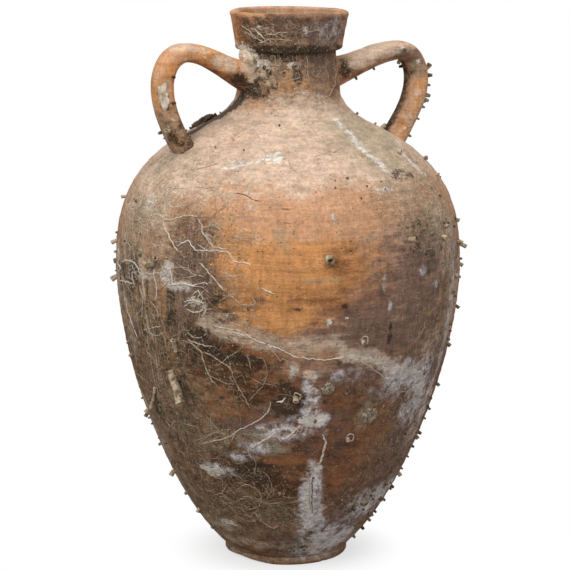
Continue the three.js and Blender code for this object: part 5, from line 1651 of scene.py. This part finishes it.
class Coat:
    """Builds up the colour and the height of one new material, layer by layer."""

    def __init__(self, name, colour, roughness, specular):
        self.material = bpy.data.materials.new(name)
        self.tree = cleared(self.material)
        surface = {"Roughness": roughness, "Specular IOR Level": specular}
        self.shader = add_node(self.tree, "ShaderNodeBsdfPrincipled", surface)
        add_node(self.tree, "ShaderNodeOutputMaterial", {"Surface": self.shader.outputs["BSDF"]})
        self.place = add_node(self.tree, "ShaderNodeTexCoord").outputs["Object"]
        self.colour = tuple(colour)
        self.height = 0.0

    def node(self, kind, inputs, **values):
        return add_node(self.tree, kind, inputs, **values).outputs

    def noise(self, size, detail=7.0, rough=0.68, distortion=0.0, place=None):
        """Noise from 0 to 1 with lumps of a size in millimetres."""
        values = {"Scale": 1 / (size * MM), "Detail": detail, "Roughness": rough, "Distortion": distortion}
        return self.node("ShaderNodeTexNoise", {"Vector": place or self.place, **values})["Fac"]

    def dots(self, pitch, small, large):
        """Scattered dots: 1 in a dot and 0 between them, for a pitch in millimetres."""
        values = {"Vector": self.place, "Scale": 1 / (pitch * MM), "Randomness": 1.0}
        away = self.node("ShaderNodeTexVoronoi", values)["Distance"]
        return self.span(away, large, small)

    def threads(self, size, width):
        """Thin lines that wander like worm trails."""
        field = self.noise(size, 1.5, 0.5, 0.9)
        away = self.math("ABSOLUTE", self.math("SUBTRACT", field, 0.5))
        return self.span(away, width, width * 0.35)

    def math(self, operation, *values):
        return self.node("ShaderNodeMath", dict(enumerate(values)), operation=operation)[0]

    def span(self, value, start, end, low=0.0, high=1.0):
        """A value between two ends, spread from a low to a high."""
        ends = {"From Min": start, "From Max": end, "To Min": low, "To Max": high}
        return self.node("ShaderNodeMapRange", {"Value": value, **ends})[0]

    def film(self, name):
        return self.node("ShaderNodeAttribute", {}, attribute_name=name)["Fac"]

    def edge(self, amount, breaks, ragged, soft):
        """Where an amount lies once noise has broken its edge up."""
        ragged = self.math("MULTIPLY", self.span(amount, 0.02, 0.4), ragged)
        broken = self.math("MULTIPLY_ADD", self.math("SUBTRACT", breaks, 0.5), ragged, amount)
        ends = {"Value": broken, "From Min": 0.5 - soft, "From Max": 0.5 + soft}
        return self.node("ShaderNodeMapRange", ends, interpolation_type="SMOOTHSTEP")[0]

    def lay(self, amount, colour, mode="MIX"):
        values = {0: amount, 6: self.colour, 7: colour}
        self.colour = self.node("ShaderNodeMix", values, data_type="RGBA", blend_type=mode)[2]

    def raise_by(self, amount, height):
        self.height = self.math("MULTIPLY_ADD", amount, height, self.height)

    def shade(self, amount):
        """Makes the colour lighter or darker: 1 leaves it."""
        self.lay(1.0, amount, "MULTIPLY")

    def times(self, first, second):
        return self.math("MULTIPLY", first, second)

    def stretched(self, *by):
        """The piece's coordinates, closer together along the axes that a number above 1 names."""
        return self.node("ShaderNodeVectorMath", {0: self.place, 1: by}, operation="MULTIPLY")[0]

    def finish(self, strength, depth):
        """The material, with its colour and with its height as bumps of a depth in millimetres."""
        values = {"Strength": strength, "Distance": depth * MM, "Height": self.height}
        bump = self.node("ShaderNodeBump", values)["Normal"]
        self.tree.links.new(self.colour, self.shader.inputs["Base Color"])
        self.tree.links.new(bump, self.shader.inputs["Normal"])
        return self.material


def fired_clay(name, base):
    """Earthenware fired in a kiln and left on the sea floor. It is matt and open pored, so it has no
    shine, and its colour is what the sea left: films of silt, rust, lime and algae over orange clay,
    with some painted light in them: umber and soot laid as painted shade under the collar, at the
    handles' ends and on their inner faces, and blush and silt laid as a painted highlight on the
    handles' upper faces. Dots and threads under a millimetre are drawn a little coarser, so that they show."""
    colours = settings("colours")
    coat = Coat(name, base, 0.92, 0.22)
    wheel = coat.stretched(1, 1, 14)
    streak = coat.stretched(1, 1, 2.2)
    drip = coat.stretched(9, 9, 1)

    # The clay: its mottle, and the fine lines that the potter's fingers drew on the wheel
    coat.lay(coat.span(coat.noise(26), 0.36, 0.62), tuple(colours.clay_pale))
    coat.lay(coat.span(coat.noise(15, 8.0, 0.7), 0.5, 0.66, 0, 0.6), tuple(colours.clay_grey))
    lines = coat.noise(34, 5.0, 0.62, 0.0, wheel)
    coat.height = coat.times(lines, 0.7)
    grit = coat.noise(3.4, 6.0, 0.78, 0.0, streak)
    fine = coat.noise(1.3, 3.0, 0.7)

    # The films. Umber, soot and worm threads leave the clay rougher than the others.
    bed = coat.film("threads")
    rough = coat.edge(bed, coat.noise(9, 6.0), 3.0, 0.3)
    for film_name, size, ragged, soft, cover, varied in FILM_EDGES:
        breaks = coat.noise(size, 11.0, 0.76, 0.0, streak if film_name in STREAKED else coat.place)
        shown = coat.times(coat.edge(coat.film(film_name), breaks, ragged, soft), cover)
        tone = coat.span(coat.noise(size * 0.7, 8.0, 0.75), 0.36, 0.64, 1 - varied, 1 + varied)
        toned = {0: getattr(colours, film_name)[:3], "Scale": tone}
        coat.lay(shown, coat.node("ShaderNodeVectorMath", toned, operation="SCALE")[0])
        if film_name in ("umber", "soot"):
            rough = coat.math("MAXIMUM", rough, shown)
        if film_name in ("silt", "lime", "lilac"):
            coat.raise_by(shown, 0.4)
    coat.shade(coat.span(lines, 0.3, 0.7, 0.84, 1.16))
    coat.shade(coat.span(coat.noise(24, 4.0, 0.6, 0.0, drip), 0.32, 0.68, 0.86, 1.14))

    # Runs: fine lines of dirt and silt that water left, straight down the wall
    runs = coat.edge(coat.film("runs"), coat.noise(12, 6.0), 2.4, 0.4)
    dirt = coat.span(coat.noise(13, 5.0, 0.7, 0.0, drip), 0.37, 0.61, -0.6, 0.34)
    coat.shade(coat.math("MULTIPLY_ADD", runs, dirt, 1.0))
    pale = coat.span(coat.noise(19, 4.0, 0.6, 0.6, drip), 0.55, 0.62, 0.0, 0.75)
    coat.lay(coat.times(runs, pale), tuple(colours.thread))
    coat.raise_by(coat.times(runs, dirt), 1.2)

    # Mottle at three sizes, from blotches to grit, and the pale dust that lies in all of it
    coat.shade(coat.span(coat.noise(17, 9.0, 0.78), 0.36, 0.64, 0.78, 1.18))
    coarse = coat.math("MULTIPLY_ADD", rough, 0.7, 0.34)
    coat.shade(coat.math("MULTIPLY_ADD", coat.span(grit, 0.34, 0.66, -0.4, 0.42), coarse, 1.0))
    coat.shade(coat.math("MULTIPLY_ADD", coat.span(fine, 0.34, 0.66, -0.2, 0.2), coarse, 1.0))
    coat.lay(coat.times(coat.span(coat.noise(4, 8.0, 0.8), 0.55, 0.66), 0.09), tuple(colours.silt))
    coat.raise_by(grit, 0.6)

    # Worm threads, pale dots and dark pores
    threads = coat.math("MAXIMUM", coat.threads(7, 0.024), coat.threads(4, 0.022))
    threads = coat.math("MAXIMUM", coat.threads(15, 0.016), threads)
    shown = coat.times(threads, coat.edge(bed, coat.noise(9, 6.0), 2.4, 0.3))
    coat.lay(coat.times(shown, 0.52), tuple(colours.thread))
    coat.raise_by(shown, 0.9)
    dots = coat.times(coat.dots(4.4, 0.1, 0.22), coat.span(coat.noise(19), 0.43, 0.56))
    coat.lay(coat.times(dots, coat.math("MULTIPLY_ADD", rough, 0.5, 0.13)), tuple(colours.lime))
    coat.raise_by(dots, 0.8)
    pores = coat.times(coat.dots(4.1, 0.1, 0.22), coat.span(coat.noise(16), 0.42, 0.6))
    coat.lay(coat.times(pores, 0.6), tuple(colours.soot))
    coat.raise_by(pores, -1.0)
    return coat.finish(0.65, 1.0)


# The kinds of lime: colour, the darker colour in their pores, and the size of their blotches (mm). A
# colour is a hex value or the name of one of the colours that a user may change.
LIMES = {
    "worm_tube_lime": ("tube", "#6E5B49", 6),
    "worm_stub_lime": ("#9C8A72", "#3B3027", 6),
    "worm_trail_lime": ("lime", "#4A382B", 34),
    "shell_lime": ("#B1A28C", "#6B5C4E", 4),
    "pale_sea_crust": ("#E6D8C2", "#B09C82", 5),
    "dark_sea_crust": ("#7A6650", "#3A2C20", 5),
}
MIDDLE_TRAIL = "#A58F76"
SHELL_PITS = "#43372D"


@functools.cache
def lime(name):
    """Sea lime: the chalk that worms, barnacles and algae lay down. It is dull, grainy and a little
    stained, darker in its pores. Worm trails follow their own tone, from dark to white, and shells are
    pitted."""
    colour, darker, size = LIMES[name]
    colour = hex_colour(colour) if colour.startswith("#") else tuple(getattr(settings("colours"), colour))
    coat = Coat(name, hex_colour(darker), 0.9, 0.2)
    if name == "worm_trail_lime":
        tone = coat.film("tone")
        coat.lay(coat.span(tone, 0.0, 0.55), hex_colour(MIDDLE_TRAIL))
        coat.lay(coat.span(tone, 0.5, 1.0), colour)
    else:
        coat.lay(coat.span(coat.noise(size, 5.0, 0.65), 0.38, 0.6), colour)
    coat.height = coat.noise(1.1, 4.0)
    coat.shade(coat.span(coat.height, 0.3, 0.7, 0.72, 1.22))
    if name == "shell_lime":
        coat.lay(coat.dots(2.2, 0.22, 0.42), hex_colour(SHELL_PITS))
    return coat.finish(0.6, 0.4)


# The softboxes: name, place (m), width (m) and power (W), all aimed at the middle of the vessel
LAMPS = (
    ("key_softbox", (-1.9, -1.25, 1.9), 1.5, 40),
    ("top_softbox", (-0.1, -0.3, 2.4), 1.5, 22),
    ("fill_softbox", (1.2, -2.2, 0.9), 1.6, 9),
)
LAMP_AIM = (0, 0, 0.25)
WORLD_LEVEL = 0.34
FLOOR_RADIUS = 1.6
FLOOR_SHADE = (0.85, 0.85, 0.85, 1)
FLOOR_BOUNCE = (0.35, 0.34, 0.33, 1)


class AMPHORA_OT_stage(bpy.types.Operator):
    """Sets the pale floor, the studio light and the camera"""

    bl_idname = "amphora.stage"
    bl_label = "Floor, Light and Camera"

    def execute(self, context):
        context.scene.view_settings.view_transform = "Standard"
        self.floor()
        self.world(context.scene)
        for name, place, size, power in LAMPS:
            light = bpy.data.lights.new(name, "AREA")
            light.size = size
            light.energy = power
            lamp = put(name, light)
            lamp.location = place
            aim = Vector(LAMP_AIM) - Vector(place)
            lamp.rotation_euler = aim.to_track_quat("-Z", "Y").to_euler()
        self.camera(context.scene)
        return {"FINISHED"}

    def bright_rays(self, tree):
        """1 for rays from the camera and rays that mirrors and glass send on, and 0 for all others."""
        rays = add_node(tree, "ShaderNodeLightPath").outputs
        bright = rays["Is Camera Ray"]
        for other in ("Is Glossy Ray", "Is Transmission Ray"):
            either = {0: bright, 1: rays[other]}
            bright = add_node(tree, "ShaderNodeMath", either, operation="MAXIMUM").outputs[0]
        return bright

    def floor(self):
        """A pale floor that keeps the shadow and fades into the white behind it."""
        sides, rings = 96, 24
        angle = np.linspace(0, 2 * math.pi, sides, endpoint=False)
        sizes = np.linspace(0.01, FLOOR_RADIUS, rings)
        points = [np.outer(sizes, np.cos(angle)), np.outer(sizes, np.sin(angle)), np.zeros((rings, sides))]
        faces = [f[::-1] for f in ring_faces(rings, sides).tolist()] + [list(range(sides))]
        floor = mesh_object("floor", np.stack(points, axis=-1).reshape(-1, 3), faces)
        material = bpy.data.materials.new("pale_floor")
        tree = cleared(material)
        bright = self.bright_rays(tree)
        white = add_node(tree, "ShaderNodeEmission", {"Color": (1, 1, 1, 1), "Strength": 1.0}).outputs[0]
        shade = add_node(tree, "ShaderNodeBsdfDiffuse", {"Color": FLOOR_SHADE}).outputs[0]
        bounce = add_node(tree, "ShaderNodeBsdfDiffuse", {"Color": FLOOR_BOUNCE}).outputs[0]
        place = add_node(tree, "ShaderNodeTexCoord").outputs["Object"]
        away = add_node(tree, "ShaderNodeVectorMath", {0: place}, operation="LENGTH").outputs["Value"]
        fade_out = {"Value": away, "From Min": 0.05, "From Max": 0.115, "To Min": 0.66, "To Max": 1.0}
        fade_out = add_node(tree, "ShaderNodeMapRange", fade_out, interpolation_type="SMOOTHSTEP").outputs[0]
        shown = add_node(tree, "ShaderNodeMixShader", {0: fade_out, 1: shade, 2: white}).outputs[0]
        out = add_node(tree, "ShaderNodeMixShader", {0: bright, 1: bounce, 2: shown}).outputs[0]
        add_node(tree, "ShaderNodeOutputMaterial", {"Surface": out})
        floor.data.materials.append(material)

    def world(self, scene):
        """White to the camera, and a soft grey light on the object."""
        scene.world = bpy.data.worlds.new("studio")
        tree = cleared(scene.world)
        level = {"Value": self.bright_rays(tree), "To Min": WORLD_LEVEL, "To Max": 1.0}
        level = add_node(tree, "ShaderNodeMapRange", level).outputs[0]
        sky = add_node(tree, "ShaderNodeBackground", {"Color": (1, 1, 1, 1), "Strength": level}).outputs[0]
        add_node(tree, "ShaderNodeOutputWorld", {"Surface": sky})

    def camera(self, scene):
        """The camera, turned and placed as the view says."""
        data = bpy.data.cameras.new("camera")
        data.lens = VIEW_LENS
        data.sensor_width = VIEW_SENSOR
        data.clip_start = 0.05
        scene.camera = put("camera", data)
        place, right, up, ahead = view()
        axes = Matrix((right, up, -ahead)).transposed().to_4x4()
        scene.camera.matrix_world = Matrix.Translation(place) @ axes


class AMPHORA_PT_panel(bpy.types.Panel):
    """Lists the amphora's sizes, colours and steps"""

    bl_idname = "AMPHORA_PT_panel"
    bl_label = "Amphora"
    bl_space_type = "VIEW_3D"
    bl_region_type = "UI"
    bl_category = "Amphora"

    def draw(self, context):
        for step in STEPS:
            self.layout.operator(step.bl_idname)
        for group in (getattr(context.scene, name) for name in GROUPS):
            for name in group.__annotations__:
                self.layout.prop(group, name)


STEPS = (
    AMPHORA_OT_stage,
    AMPHORA_OT_wall,
    AMPHORA_OT_collar,
    AMPHORA_OT_handles,
    AMPHORA_OT_worm_tubes,
    AMPHORA_OT_shells,
    AMPHORA_OT_lime_crusts,
    AMPHORA_OT_worm_trails,
    AMPHORA_OT_stubs,
)
GROUPS = {
    "amphora_form": AmphoraForm,
    "amphora_strap": AmphoraStrap,
    "amphora_growth": AmphoraGrowth,
    "amphora_colours": AmphoraColours,
}


def register():
    for kind in (*GROUPS.values(), *STEPS, AMPHORA_PT_panel):
        bpy.utils.register_class(kind)
    for name, group in GROUPS.items():
        setattr(bpy.types.Scene, name, PointerProperty(type=group))


def unregister():
    for name in GROUPS:
        delattr(bpy.types.Scene, name)
    for kind in reversed((*GROUPS.values(), *STEPS, AMPHORA_PT_panel)):
        bpy.utils.unregister_class(kind)


def main():
    register()
    for step in STEPS:
        group, name = step.bl_idname.split(".")
        getattr(getattr(bpy.ops, group), name)()


if __name__ == "__main__":
    main()
